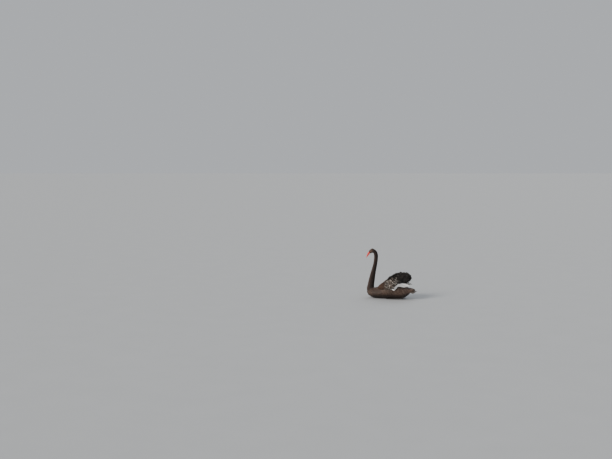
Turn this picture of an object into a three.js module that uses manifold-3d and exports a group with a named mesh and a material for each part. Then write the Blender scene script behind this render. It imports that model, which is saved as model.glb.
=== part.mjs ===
// Black swan, Cygnus atratus, afloat: neck upright, bill lowered, curled plumes raised over the back.
// Millimetres, +Z up, the bill towards -X, the tail towards +X, the left side towards -Y.
// The origin lies on the flat of the belly, under the middle of the trunk. The swan rests on that flat,
// with its folded legs and feet laid on the same level beside it.
import * as THREE from "three";
import { mergeVertices } from "three/addons/utils/BufferGeometryUtils.js";
import Module from "manifold-3d";

// Driving dimensions
const GAP = 0.3; // air between pieces that touch
const CLEAR = 0.6; // growth of a curved piece that cuts its neighbour, so that the facets keep the gap
const BREAST_X = -332; // foremost point of the breast
const TAIL_TIP_X = 334;
const TAIL_CUT_X = 238; // where the tail leaves the rump
const BACK_Z = 214; // highest point of the back, under the plumes
const BEAM_HALF = 133; // half of the greatest breadth of the trunk
const WATERLINE_Z = 85; // level that a swan of this weight floats to
const BELLY_SINK = 7; // depth of belly pressed flat by its own weight
const PLUME_TOP_Z = 326; // where the raised plumes end, before they roll over
const NECK_BASE_HALF = 45; // half of the neck's depth at the breast
const NECK_TOP_HALF = 28; // half of the neck's depth under the head
const HEAD_CENTRE = new THREE.Vector3(-277, 0, 607);
const HEAD_PITCH = 34; // degrees that the skull points below level
const BILL_PITCH = 58; // degrees that the bill points below level
const BILL_LENGTH = 74;
const EYE_RADIUS = 7.5;
const FOOT_HALF_SPAN = 80; // from the midline to the middle toe

// Colours seen in the photograph, as sRGB
const PLUMAGE = "#2b2422";
const FRINGED = "#3f352f";
const WHITE_QUILL = "#e6e2da";
const BILL_RED = "#d4303a";
const IRIS_RED = "#a81818";
const LEG_GREY = "#24211f";

const wasm = await Module();
wasm.setup();

// Booleans

function solidOf(geometry) {
  const bare = geometry.clone();
  bare.deleteAttribute("normal");
  bare.deleteAttribute("uv");
  const merged = mergeVertices(bare, 1e-3);
  return new wasm.Manifold(
    new wasm.Mesh({
      numProp: 3,
      vertProperties: merged.attributes.position.array,
      triVerts: new Uint32Array(merged.index.array),
    }),
  );
}

function geometryOf(solid) {
  const mesh = solid.getMesh();
  const geometry = new THREE.BufferGeometry();
  geometry.setAttribute("position", new THREE.BufferAttribute(mesh.vertProperties, 3));
  geometry.setIndex(new THREE.BufferAttribute(mesh.triVerts, 1));
  return geometry;
}

// A block that fills one side of the plane x = at: all that lies ahead of it, or behind it.
function halfSpace(at, side) {
  const reach = 1000;
  const block = new THREE.BoxGeometry(reach, reach, reach);
  block.translate(at + (side * reach) / 2, 0, 0);
  return solidOf(block);
}

// Section laws

// A smooth value at x through the named key of a few stations, each { x, ... }.
function along(stations, key, x) {
  const last = stations.length - 1;
  let i = 0;
  while (i < last - 1 && x > stations[i + 1].x) i += 1;
  const at = (n) => stations[THREE.MathUtils.clamp(n, 0, last)];
  const slope = (n) => {
    const span = at(n + 1).x - at(n - 1).x;
    return span === 0 ? 0 : (at(n + 1)[key] - at(n - 1)[key]) / span;
  };
  const span = at(i + 1).x - at(i).x;
  const t = THREE.MathUtils.clamp((x - at(i).x) / span, 0, 1);
  const t2 = t * t;
  const t3 = t2 * t;
  return (
    (2 * t3 - 3 * t2 + 1) * at(i)[key] +
    (t3 - 2 * t2 + t) * span * slope(i) +
    (3 * t2 - 2 * t3) * at(i + 1)[key] +
    (t3 - t2) * span * slope(i + 1)
  );
}

// 0 at an end, 1 from `radius` on, round in between.
function roundedEnd(distance, radius) {
  if (distance >= radius) return 1;
  const short = 1 - Math.max(0, distance) / radius;
  return Math.sqrt(Math.max(0, 1 - short * short));
}

// Moves each vertex of a sphere whose poles lie on X: place(share of length, direction y, direction z).
function moulded(rows, columns, place) {
  const geometry = new THREE.SphereGeometry(1, columns, rows);
  geometry.rotateZ(Math.PI / 2);
  const position = geometry.attributes.position;
  for (let i = 0; i < position.count; i += 1) {
    const y = position.getY(i);
    const z = position.getZ(i);
    const ring = Math.hypot(y, z);
    const share = (1 + position.getX(i)) / 2;
    const placed = ring < 1e-6 ? place(share, 0, 0) : place(share, y / ring, z / ring);
    position.setXYZ(i, placed.x, placed.y, placed.z);
  }
  return geometry;
}

// A bar that follows a curve: shape(share) gives its half breadth along `broad` and its half thickness.
function swept(curve, broad, shape, { rows = 10, columns = 10, capped = false } = {}) {
  const geometry = capped
    ? new THREE.CylinderGeometry(1, 1, 2, columns, rows)
    : new THREE.SphereGeometry(1, columns, rows);
  const position = geometry.attributes.position;
  for (let i = 0; i < position.count; i += 1) {
    const x = position.getX(i);
    const z = position.getZ(i);
    const ring = Math.hypot(x, z);
    const share = THREE.MathUtils.clamp((1 + position.getY(i)) / 2, 0, 1);
    const centre = curve.getPointAt(share);
    const forward = curve.getTangentAt(share);
    const across = broad.clone().addScaledVector(forward, -broad.dot(forward)).normalize();
    const up = new THREE.Vector3().crossVectors(across, forward);
    if (ring > 1e-6) {
      const half = shape(share);
      centre.addScaledVector(across, (x / ring) * half.breadth);
      centre.addScaledVector(up, (z / ring) * half.thickness);
    }
    position.setXYZ(i, centre.x, centre.y, centre.z);
  }
  return geometry;
}

// Presses whatever lies under the floor up to it, which leaves a flat.
function restedOnFloor(geometry) {
  const position = geometry.attributes.position;
  for (let i = 0; i < position.count; i += 1) position.setZ(i, Math.max(0, position.getZ(i)));
  return geometry;
}

function curveThrough(...points) {
  return new THREE.CatmullRomCurve3(points.map((p) => new THREE.Vector3(...p)), false, "centripetal");
}

// Trunk: the breast, belly, back and rump, widest at the waterline

const TRUNK_SECTIONS = [
  { x: BREAST_X, top: 122, bottom: 52, half: 66 },
  { x: -295, top: 137, bottom: 22, half: 84 },
  { x: -235, top: 137, bottom: -1, half: 106 },
  { x: -150, top: 157, bottom: -BELLY_SINK, half: 124 },
  { x: -40, top: 205, bottom: -BELLY_SINK, half: BEAM_HALF },
  { x: 60, top: BACK_Z, bottom: -BELLY_SINK, half: 130 },
  { x: 140, top: 182, bottom: 2, half: 110 },
  { x: 200, top: 158, bottom: 36, half: 84 },
  { x: 255, top: 145, bottom: 84, half: 58 },
  { x: 300, top: 122, bottom: 100, half: 34 },
];
const BREAST_ROUND = 62;
const RUMP_ROUND = 40;

function trunkGeometry(grow, rows, columns) {
  const start = BREAST_X - grow;
  const end = TRUNK_SECTIONS[TRUNK_SECTIONS.length - 1].x + grow;
  return moulded(rows, columns, (share, dy, dz) => {
    const x = THREE.MathUtils.lerp(start, end, share);
    const round = Math.min(roundedEnd(x - start, BREAST_ROUND), roundedEnd(end - x, RUMP_ROUND));
    const top = along(TRUNK_SECTIONS, "top", x) + grow;
    const bottom = along(TRUNK_SECTIONS, "bottom", x) - grow;
    const waist = THREE.MathUtils.lerp(bottom, top, 0.47);
    const half = along(TRUNK_SECTIONS, "half", x) + grow;
    const reach = dz > 0 ? top - waist : waist - bottom;
    return new THREE.Vector3(x, dy * half * round, waist + dz * reach * round);
  });
}

// Neck: one curve from inside the breast to the skull

const NECK_CURVE = curveThrough(
  [-262, 0, 62],
  [-282, 0, 120],
  [-277, 0, 180],
  [-268, 0, 232],
  [-258, 0, 285],
  [-247, 0, 338],
  [-234, 0, 391],
  [-223, 0, 444],
  [-215, 0, 497],
  [-213, 0, 545],
  [-219, 0, 580],
  [-238, 0, 605],
  [-266, 0, 612],
);
const NECK_CUTS = [0.18, 0.44, 0.68, 0.9]; // shares of the curve where the lengths of neck are parted
const ACROSS = new THREE.Vector3(0, 1, 0);

function neckShape(share) {
  const slim = THREE.MathUtils.smoothstep(share, 0.12, 0.72);
  const depth = THREE.MathUtils.lerp(NECK_BASE_HALF, NECK_TOP_HALF, slim);
  const flare = 14 * (1 - THREE.MathUtils.smoothstep(share, 0.0, 0.2));
  return { breadth: depth * 0.88 + flare * 1.6, thickness: depth + flare };
}

function neckSolid(from, to, rows, grow = 0) {
  const curve = NECK_CURVE;
  const stretch = {
    getPointAt: (t) => curve.getPointAt(THREE.MathUtils.lerp(from, to, t)),
    getTangentAt: (t) => curve.getTangentAt(THREE.MathUtils.lerp(from, to, t)),
  };
  const shape = (t) => {
    const half = neckShape(THREE.MathUtils.lerp(from, to, t));
    return { breadth: half.breadth + grow, thickness: half.thickness + grow };
  };
  return solidOf(swept(stretch, ACROSS, shape, { rows, columns: 18, capped: true }));
}

// Head: built level, its bill towards -X, then pitched about its centre

const HEAD_SECTIONS = [
  { x: -40, up: 14, down: 15, half: 15.5 },
  { x: -28, up: 19, down: 19, half: 18.5 },
  { x: -12, up: 25.5, down: 23, half: 22.5 },
  { x: 8, up: 27.5, down: 25, half: 24.5 },
  { x: 28, up: 26, down: 25, half: 24 },
  { x: 46, up: 20, down: 22, half: 20 },
];

function pitched(geometry, degrees, centre) {
  return geometry.rotateY(-THREE.MathUtils.degToRad(degrees)).translate(centre.x, centre.y, centre.z);
}

function headGeometry(grow, rows, columns) {
  const start = HEAD_SECTIONS[0].x - grow;
  const end = HEAD_SECTIONS[HEAD_SECTIONS.length - 1].x + grow;
  const level = moulded(rows, columns, (share, dy, dz) => {
    const x = THREE.MathUtils.lerp(start, end, share);
    const round = Math.min(roundedEnd(x - start, 13), roundedEnd(end - x, 24));
    const half = along(HEAD_SECTIONS, "half", x) + grow;
    const reach = along(HEAD_SECTIONS, dz > 0 ? "up" : "down", x) + grow;
    return new THREE.Vector3(x, dy * half * round, dz * reach * round);
  });
  return pitched(level, HEAD_PITCH, HEAD_CENTRE);
}

// A point of the head given by its distance ahead of the centre, to the side, and above it.
function onHead(ahead, side, above) {
  const pitch = THREE.MathUtils.degToRad(HEAD_PITCH);
  return new THREE.Vector3(
    HEAD_CENTRE.x - ahead * Math.cos(pitch) - above * Math.sin(pitch),
    side,
    HEAD_CENTRE.z - ahead * Math.sin(pitch) + above * Math.cos(pitch),
  );
}

const BILL_ROOT = onHead(35, 0, -3);
const EYE_AHEAD = 19;
const EYE_ABOVE = 4;
const EYE_SIDE = 17.6;

// Bill: a broad upper half that closes over a slim lower one, with a nail at the tip

const BILL_SECTIONS = [
  { x: -BILL_LENGTH, up: 4.5, down: 6.0, half: 9.0 },
  { x: -BILL_LENGTH + 10, up: 7.2, down: 6.0, half: 12.4 },
  { x: -BILL_LENGTH * 0.6, up: 9.8, down: 7.6, half: 12.2 },
  { x: -BILL_LENGTH * 0.3, up: 14.4, down: 11.2, half: 13.4 },
  { x: 0, up: 17.6, down: 13.4, half: 15.6 },
];
const GAPE_DROP = 2.4; // how far the mouth line lies under the bill's axis at its root

function billSolid() {
  const start = BILL_SECTIONS[0].x;
  const level = moulded(12, 14, (share, dy, dz) => {
    const x = THREE.MathUtils.lerp(start, 0, share);
    const round = Math.min(roundedEnd(x - start, 10), roundedEnd(-x, 3));
    const half = along(BILL_SECTIONS, "half", x);
    const reach = along(BILL_SECTIONS, dz > 0 ? "up" : "down", x);
    return new THREE.Vector3(x, dy * half * round, dz * reach * round - (1 - round) * 3);
  });
  return solidOf(pitched(level, BILL_PITCH, BILL_ROOT));
}

// The space under the mouth line: a block whose top falls from the tip to the gape.
function underMouth(lift) {
  const tilt = Math.atan2(GAPE_DROP, BILL_LENGTH);
  const block = new THREE.BoxGeometry(200, 100, 60);
  block.translate(0, 0, -30 + lift);
  block.rotateY(tilt);
  block.translate(-BILL_LENGTH, 0, -2.2);
  return solidOf(pitched(block, BILL_PITCH, BILL_ROOT));
}

// Wing: the folded arm with its ruffled coverts, a leaning blade that rises towards the tail

const WING_SECTIONS = [
  { x: -180, y: 84, z: 141, long: 16, thick: 13 },
  { x: -140, y: 95, z: 158, long: 35, thick: 22 },
  { x: -80, y: 105, z: 182, long: 57, thick: 32 },
  { x: -20, y: 108, z: 204, long: 77, thick: 38 },
  { x: 40, y: 101, z: 218, long: 88, thick: 41 },
  { x: 85, y: 91, z: 238, long: 80, thick: 40 },
  { x: 120, y: 82, z: 257, long: 62, thick: 37 },
  { x: 165, y: 72, z: 263, long: 52, thick: 33 },
  { x: 214, y: 66, z: 266, long: 34, thick: 26 },
];
const WING_LEAN = [12, 20]; // degrees that the blade leans inwards, at the shoulder and at the rear

function wingGeometry(grow, rows, columns) {
  const start = WING_SECTIONS[0].x - grow;
  const end = WING_SECTIONS[WING_SECTIONS.length - 1].x + grow;
  return moulded(rows, columns, (share, dy, dz) => {
    const x = THREE.MathUtils.lerp(start, end, share);
    const round = Math.min(roundedEnd(x - start, 26), roundedEnd(end - x, 30));
    const lean = THREE.MathUtils.degToRad(THREE.MathUtils.lerp(WING_LEAN[0], WING_LEAN[1], share));
    const up = (along(WING_SECTIONS, "long", x) + grow) * round * dz;
    const out = (along(WING_SECTIONS, "thick", x) + grow) * round * dy;
    return new THREE.Vector3(
      x,
      along(WING_SECTIONS, "y", x) + out * Math.cos(lean) - up * Math.sin(lean),
      along(WING_SECTIONS, "z", x) + out * Math.sin(lean) + up * Math.cos(lean),
    );
  });
}

// Curled plumes over the back: from a root in the wing to a tip that rolls over
const PLUMES = [
  { root: [-40, 98, 236], tip: [10, 100, 303], breadth: 14, roll: 8 },
  { root: [-2, 90, 258], tip: [52, 84, PLUME_TOP_Z - 13], breadth: 18, roll: 10 },
  { root: [34, 80, 266], tip: [92, 68, PLUME_TOP_Z - 2], breadth: 22, roll: 12 },
  { root: [66, 72, 268], tip: [142, 58, PLUME_TOP_Z], breadth: 25, roll: 12 },
  { root: [98, 70, 264], tip: [194, 52, PLUME_TOP_Z - 2], breadth: 25, roll: 10 },
  { root: [122, 70, 258], tip: [221, 54, 304], breadth: 24, roll: 6 },
  { root: [130, 74, 248], tip: [234, 62, 268], breadth: 22, roll: 3 },
  { root: [120, 80, 238], tip: [228, 72, 236], breadth: 18, roll: -4 },
];
const PLUME_THICKNESS = 7;

function plumeSolid({ root, tip, breadth, roll }) {
  const from = new THREE.Vector3(...root);
  const to = new THREE.Vector3(...tip);
  const middle = from.clone().lerp(to, 0.55).add(new THREE.Vector3(0, 7, roll * 0.7));
  const over = from.clone().lerp(to, 0.88).add(new THREE.Vector3(0, 3, roll * 0.5));
  const curve = new THREE.CatmullRomCurve3([from, middle, over, to], false, "centripetal");
  const chord = to.clone().sub(from).normalize();
  const broad = new THREE.Vector3(-chord.z, 0.35, chord.x).normalize();
  const shape = (share) => {
    const full = Math.min(roundedEnd(share, 0.45), roundedEnd(1 - share, 0.3));
    return { breadth: breadth * full, thickness: (PLUME_THICKNESS * full) / 2 };
  };
  return solidOf(swept(curve, broad, shape, { rows: 7, columns: 7 }));
}

// White flight feathers: the outer secondaries climb the wing's rear edge, the primaries lie back from them
function quillsSolid() {
  const secondaries = curveThrough([52, 112, 128], [80, 112, 150], [108, 102, 182], [126, 94, 206]);
  const primaries = curveThrough([92, 104, 192], [140, 94, 201], [190, 84, 195], [256, 70, 180]);
  const upright = new THREE.Vector3(-0.35, -0.3, 1);
  const fan = (share) => ({
    breadth: THREE.MathUtils.lerp(12, 20, share) * roundedEnd(share, 0.2) * roundedEnd(1 - share, 0.2),
    thickness: 5 * roundedEnd(share, 0.2) * roundedEnd(1 - share, 0.2),
  });
  const bundle = (share) => ({
    breadth: THREE.MathUtils.lerp(24, 7, share) * roundedEnd(share, 0.25) * roundedEnd(1 - share, 0.12),
    thickness: THREE.MathUtils.lerp(7, 3, share) * roundedEnd(share, 0.25) * roundedEnd(1 - share, 0.12),
  });
  const low = solidOf(swept(secondaries, upright, fan, { rows: 8, columns: 10 }));
  return low.add(solidOf(swept(primaries, upright, bundle, { rows: 10, columns: 10 })));
}

// Tail: short, rounded and closed, arched across
const TAIL_SECTIONS = [
  { x: 196, top: 156, bottom: 96, half: 50 },
  { x: 240, top: 149, bottom: 92, half: 60 },
  { x: 285, top: 129, bottom: 97, half: 67 },
  { x: 318, top: 112, bottom: 99, half: 60 },
  { x: TAIL_TIP_X, top: 105, bottom: 100, half: 50 },
];
const TAIL_ARCH = 9;

function tailSolid() {
  const start = TAIL_SECTIONS[0].x;
  return solidOf(
    moulded(13, 16, (share, dy, dz) => {
      const x = THREE.MathUtils.lerp(start, TAIL_TIP_X, share);
      const round = Math.min(roundedEnd(x - start, 20), roundedEnd(TAIL_TIP_X - x, 34));
      const middle = (along(TAIL_SECTIONS, "top", x) + along(TAIL_SECTIONS, "bottom", x)) / 2;
      const thick = (along(TAIL_SECTIONS, "top", x) - along(TAIL_SECTIONS, "bottom", x)) / 2;
      const z = middle + dz * thick * Math.min(1, round + 0.2) - TAIL_ARCH * dy * dy * round;
      return new THREE.Vector3(x, dy * along(TAIL_SECTIONS, "half", x) * round, z);
    }),
  );
}

// Leg: the bare shank lies along the floor from the heel to the toes; the foot points ahead under the flank
const HEEL = [152, 62, 12];
const TOE_ROOT = [62, FOOT_HALF_SPAN, 8];
const TOES = [
  { tip: [-30, FOOT_HALF_SPAN - 20, 3.5], root: 6.2, end: 3.4 },
  { tip: [-56, FOOT_HALF_SPAN, 3.5], root: 7.0, end: 3.4 },
  { tip: [-40, FOOT_HALF_SPAN + 19, 3.5], root: 6.4, end: 3.4 },
];
const WEB_THICKNESS = 3;

function legSolid(grow) {
  const shank = curveThrough(HEEL, [108, 73, 9], [TOE_ROOT[0] + 11, FOOT_HALF_SPAN - 2, 8.2]);
  const thick = (share) => {
    const half = THREE.MathUtils.lerp(11, 7.4, THREE.MathUtils.smoothstep(share, 0, 0.4)) + grow;
    const round = Math.min(roundedEnd(share, 0.12), roundedEnd(1 - share, 0.06));
    return { breadth: half * 0.9 * round, thickness: half * round };
  };
  return solidOf(restedOnFloor(swept(shank, ACROSS, thick, { rows: 10, columns: 10 })));
}

function footSolid(grow) {
  let foot = null;
  for (const { tip, root, end } of TOES) {
    const toe = new THREE.LineCurve3(new THREE.Vector3(...TOE_ROOT), new THREE.Vector3(...tip));
    const thick = (share) => {
      const half = THREE.MathUtils.lerp(root, end, share) + grow;
      const knuckle = 1 + 0.1 * Math.cos(share * Math.PI * 6);
      const round = Math.min(roundedEnd(share, 0.05), roundedEnd(1 - share, 0.16));
      return { breadth: half * knuckle * round, thickness: half * knuckle * round };
    };
    const piece = solidOf(restedOnFloor(swept(toe, ACROSS, thick, { rows: 10, columns: 7 })));
    foot = foot === null ? piece : foot.add(piece);
  }
  const outline = new THREE.Shape();
  outline.moveTo(TOE_ROOT[0] - 4, TOE_ROOT[1] - 3);
  outline.lineTo(TOES[0].tip[0] + 14, TOES[0].tip[1]);
  outline.quadraticCurveTo(-12, FOOT_HALF_SPAN - 9, TOES[1].tip[0] + 16, TOES[1].tip[1]);
  outline.quadraticCurveTo(-14, FOOT_HALF_SPAN + 9, TOES[2].tip[0] + 14, TOES[2].tip[1]);
  outline.lineTo(TOE_ROOT[0] - 4, TOE_ROOT[1] + 3);
  const web = new THREE.ExtrudeGeometry(outline, {
    depth: WEB_THICKNESS + grow,
    bevelEnabled: false,
    curveSegments: 5,
  });
  return foot.add(solidOf(web));
}

// Parting the pieces

const neckRoot = neckSolid(0, NECK_CUTS[0], 5);
const neckCollar = neckSolid(NECK_CUTS[3], 1, 5);
const trunkWhole = solidOf(restedOnFloor(trunkGeometry(0, 26, 26)));
const trunkShell = solidOf(trunkGeometry(CLEAR, 26, 26));
const wingShell = solidOf(wingGeometry(CLEAR, 20, 16));
const leg = legSolid(0).subtract(footSolid(CLEAR));
const foot = footSolid(0);
const mirroredY = (solid) => {
  const geometry = geometryOf(solid).applyMatrix4(new THREE.Matrix4().makeScale(1, -1, 1));
  const index = geometry.index.array;
  for (let i = 0; i < index.length; i += 3) [index[i + 1], index[i + 2]] = [index[i + 2], index[i + 1]];
  return solidOf(geometry);
};
const underpinning = legSolid(CLEAR).add(footSolid(CLEAR));

const rearBody = trunkWhole.add(tailSolid());
const tail = rearBody.intersect(halfSpace(TAIL_CUT_X + GAP / 2, 1));
const trunk = rearBody
  .intersect(halfSpace(TAIL_CUT_X - GAP / 2, -1))
  .add(neckRoot)
  .subtract(underpinning)
  .subtract(mirroredY(underpinning));

const wing = PLUMES.map(plumeSolid)
  .reduce((joined, plume) => joined.add(plume), solidOf(wingGeometry(0, 20, 16)))
  .subtract(trunkShell);
const quills = quillsSolid().subtract(wingShell).subtract(trunkShell);

const socket = (side) => {
  const ball = new THREE.SphereGeometry(EYE_RADIUS + GAP, 12, 8);
  const centre = onHead(EYE_AHEAD, side * EYE_SIDE, EYE_ABOVE);
  return solidOf(ball.translate(centre.x, centre.y, centre.z));
};
const skull = solidOf(headGeometry(0, 15, 18));
const head = skull.add(neckCollar).subtract(socket(-1)).subtract(socket(1));
const bill = billSolid().subtract(solidOf(headGeometry(CLEAR, 15, 18)));

// The scene graph

const material = (colour, roughness) =>
  new THREE.MeshStandardMaterial({ color: colour, roughness, metalness: 0 });
const swan = new THREE.Group();

function addPiece(name, solid, finish, mirrored = false) {
  const mesh = new THREE.Mesh(geometryOf(solid), finish);
  mesh.name = name;
  if (mirrored) mesh.scale.y = -1;
  swan.add(mesh);
}

const half = GAP / 2 / NECK_CURVE.getLength();
addPiece("trunk", trunk, material(PLUMAGE, 0.8));
addPiece("tail", tail, material(FRINGED, 0.75));
addPiece("neck_lower", neckSolid(NECK_CUTS[0] + 2 * half, NECK_CUTS[1] - half, 7), material(PLUMAGE, 0.8));
addPiece("neck_middle", neckSolid(NECK_CUTS[1] + half, NECK_CUTS[2] - half, 6), material(PLUMAGE, 0.8));
addPiece("neck_upper", neckSolid(NECK_CUTS[2] + half, NECK_CUTS[3] - 2 * half, 7), material(PLUMAGE, 0.8));
addPiece("head", head, material(FRINGED, 0.8));
addPiece("bill_upper", bill.subtract(underMouth(0)), material(BILL_RED, 0.35));
addPiece("bill_lower", bill.intersect(underMouth(-GAP)), material(BILL_RED, 0.4));

for (const [sideName, mirrored] of [["left", true], ["right", false]]) {
  addPiece(`wing_${sideName}`, wing, material(FRINGED, 0.75), mirrored);
  addPiece(`quills_${sideName}`, quills, material(WHITE_QUILL, 0.6), mirrored);
  addPiece(`leg_${sideName}`, leg, material(LEG_GREY, 0.5), mirrored);
  addPiece(`foot_${sideName}`, foot, material(LEG_GREY, 0.5), mirrored);
  const eye = new THREE.Mesh(new THREE.SphereGeometry(EYE_RADIUS, 12, 8), material(IRIS_RED, 0.1));
  eye.name = `eye_${sideName}`;
  eye.position.copy(onHead(EYE_AHEAD, mirrored ? -EYE_SIDE : EYE_SIDE, EYE_ABOVE));
  swan.add(eye);
}

export default swan;
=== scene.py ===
import math
import bmesh
import bpy
import numpy as np
from mathutils import Matrix, Vector
from mathutils.bvhtree import BVHTree


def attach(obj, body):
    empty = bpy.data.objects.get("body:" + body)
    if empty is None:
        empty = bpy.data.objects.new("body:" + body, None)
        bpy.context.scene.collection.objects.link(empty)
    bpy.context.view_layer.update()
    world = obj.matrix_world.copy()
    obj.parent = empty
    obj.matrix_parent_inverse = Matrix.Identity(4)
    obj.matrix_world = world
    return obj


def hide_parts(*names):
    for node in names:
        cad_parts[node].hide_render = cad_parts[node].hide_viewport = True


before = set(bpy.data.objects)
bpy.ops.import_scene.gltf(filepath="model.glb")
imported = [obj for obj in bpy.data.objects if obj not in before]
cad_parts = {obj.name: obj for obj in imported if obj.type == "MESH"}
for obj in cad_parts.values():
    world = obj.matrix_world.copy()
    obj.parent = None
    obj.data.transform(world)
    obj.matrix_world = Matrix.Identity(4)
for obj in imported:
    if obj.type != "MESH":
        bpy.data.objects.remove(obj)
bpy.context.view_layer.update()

# Camera: the photograph's own. The swan stands right of the middle, 1.30 cm to a pixel of the 612 x 459
# frame, with the horizon at row 166. It is turned about 12 degrees, tail nearer, a judged value.
IMAGE_WIDTH, IMAGE_HEIGHT = 612, 459
FOCAL_PIXELS = 850.0
HORIZON_ROW = 166.0
ORIGIN_PIXEL = (391.8, 298.3)
METRES_PER_PIXEL = 0.013
SWAN_TURN = math.radians(12.0)
SENSOR_MM = 36.0
off_x = ORIGIN_PIXEL[0] - IMAGE_WIDTH / 2
off_y = IMAGE_HEIGHT / 2 - ORIGIN_PIXEL[1]
dip = math.atan((IMAGE_HEIGHT / 2 - HORIZON_ROW) / FOCAL_PIXELS)
aim = SWAN_TURN + math.atan(off_x / FOCAL_PIXELS)
camera_data = bpy.data.cameras.new("camera")
camera_data.lens = FOCAL_PIXELS / IMAGE_WIDTH * SENSOR_MM
camera_data.sensor_width = SENSOR_MM
camera_data.clip_end = 200.0
camera = bpy.data.objects.new("camera", camera_data)
bpy.context.scene.collection.objects.link(camera)
turn = Matrix.Rotation(aim, 3, "Z") @ Matrix.Rotation(math.pi / 2 - dip, 3, "X")
depth = FOCAL_PIXELS * METRES_PER_PIXEL
seen = Vector((off_x * METRES_PER_PIXEL, off_y * METRES_PER_PIXEL, -depth))
camera.matrix_world = Matrix.Translation(-(turn @ seen)) @ turn.to_4x4()
bpy.context.scene.camera = camera


# Studio: a plain pale floor under soft light. The key comes from the bill's side and a little above,
# as in the photograph; a broad fill and a back light draw the dark feathers' edges.
FLOOR_REACH = 400.0
FLOOR_DARK, FLOOR_LIGHT = (0.355, 0.365, 0.375), (0.38, 0.39, 0.40)
AIR_COLOUR, AIR_STRENGTH = (0.80, 0.83, 0.87, 1), 0.62
LIGHTS = (  # name, place, spread in degrees, strength, colour
    ("key", (-3.0, -3.7, 2.8), 26.0, 3.4, (1.0, 0.94, 0.86)),
    ("fill", (3.4, -2.4, 2.4), 60.0, 0.45, (0.90, 0.95, 1.0)),
    ("back", (0.6, 3.6, 3.2), 45.0, 0.9, (0.94, 0.97, 1.0)),
)


def new_object(name, mesh):
    thing = bpy.data.objects.new(name, mesh)
    bpy.context.scene.collection.objects.link(thing)
    return thing


def node_material(name, **settings):
    """A material with its nodes and shader; settings name the shader's inputs, with _ for a space."""
    stuff = bpy.data.materials.new(name)
    stuff.use_nodes = True
    shader = stuff.node_tree.nodes["Principled BSDF"]
    for label, value in settings.items():
        shader.inputs[label.replace("_", " ")].default_value = value
    return stuff, stuff.node_tree, shader


def new_node(tree, kind, inputs, **properties):
    """A node with its properties set, and its inputs set to values or linked to sockets."""
    made = tree.nodes.new("ShaderNode" + kind)
    for key, value in properties.items():
        setattr(made, key, value)
    for label, value in inputs.items():
        if isinstance(value, bpy.types.NodeSocket):
            tree.links.new(value, made.inputs[label])
        else:
            made.inputs[label].default_value = value
    return made


def mixed(tree, factor, first, second, blend="MIX"):
    """A colour mix, where a colour or the factor may be a value or a socket."""
    first, second = [(*colour, 1) if isinstance(colour, tuple) else colour for colour in (first, second)]
    inputs = {"Factor": factor, "A": first, "B": second}
    return new_node(tree, "Mix", inputs, data_type="RGBA", blend_type=blend).outputs["Result"]


def ramped(tree, value, low, high):
    inputs = {"Value": value, "From Min": low, "From Max": high}
    return new_node(tree, "MapRange", inputs, interpolation_type="SMOOTHSTEP").outputs["Result"]


def object_place(tree):
    return new_node(tree, "TexCoord", {}).outputs["Object"]


def noised(tree, scale, detail=3.0):
    inputs = {"Vector": object_place(tree), "Scale": scale, "Detail": detail}
    return new_node(tree, "TexNoise", inputs).outputs["Fac"]


def celled(tree, scale, feature="F1"):
    inputs = {"Vector": object_place(tree), "Scale": scale}
    return new_node(tree, "TexVoronoi", inputs, feature=feature).outputs["Distance"]


def attribute(tree, name):
    return new_node(tree, "Attribute", {}, attribute_name=name).outputs["Fac"]


def coloured(tree, shader, colour, height=None, strength=0.0, distance=0.0004):
    """Links a colour to the shader and, where a height is given, a bump of it."""
    tree.links.new(colour, shader.inputs["Base Color"])
    if height is not None:
        bump = new_node(tree, "Bump", {"Strength": strength, "Distance": distance, "Height": height})
        tree.links.new(bump.outputs["Normal"], shader.inputs["Normal"])


def soft_light(name, place, spread, strength, colour):
    """A far, wide light, as of a large softbox: spread is its angle seen from the swan, in degrees."""
    data = bpy.data.lights.new(name, "SUN")
    data.angle = math.radians(spread)
    data.energy = strength
    data.color = colour
    light = bpy.data.objects.new(name, data)
    bpy.context.scene.collection.objects.link(light)
    aimed = Vector(place).to_track_quat("Z", "Y").to_matrix().to_4x4()
    light.matrix_world = Matrix.Translation(place) @ aimed


floor_bm = bmesh.new()
bmesh.ops.create_grid(floor_bm, x_segments=2, y_segments=2, size=FLOOR_REACH)
floor_mesh = bpy.data.meshes.new("floor")
floor_bm.to_mesh(floor_mesh)
floor_bm.free()
floor = new_object("floor", floor_mesh)
floor_stuff, floor_nodes, floor_shader = node_material("pale_floor", Roughness=0.85)
floor_tone = mixed(floor_nodes, noised(floor_nodes, 3.0, 2.0), FLOOR_DARK, FLOOR_LIGHT)
coloured(floor_nodes, floor_shader, floor_tone)
floor_mesh.materials.append(floor_stuff)
for light in LIGHTS:
    soft_light(*light)
world = bpy.data.worlds.new("studio")
bpy.context.scene.world = world
world.use_nodes = True
world.node_tree.nodes["Background"].inputs["Color"].default_value = AIR_COLOUR
world.node_tree.nodes["Background"].inputs["Strength"].default_value = AIR_STRENGTH


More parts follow.
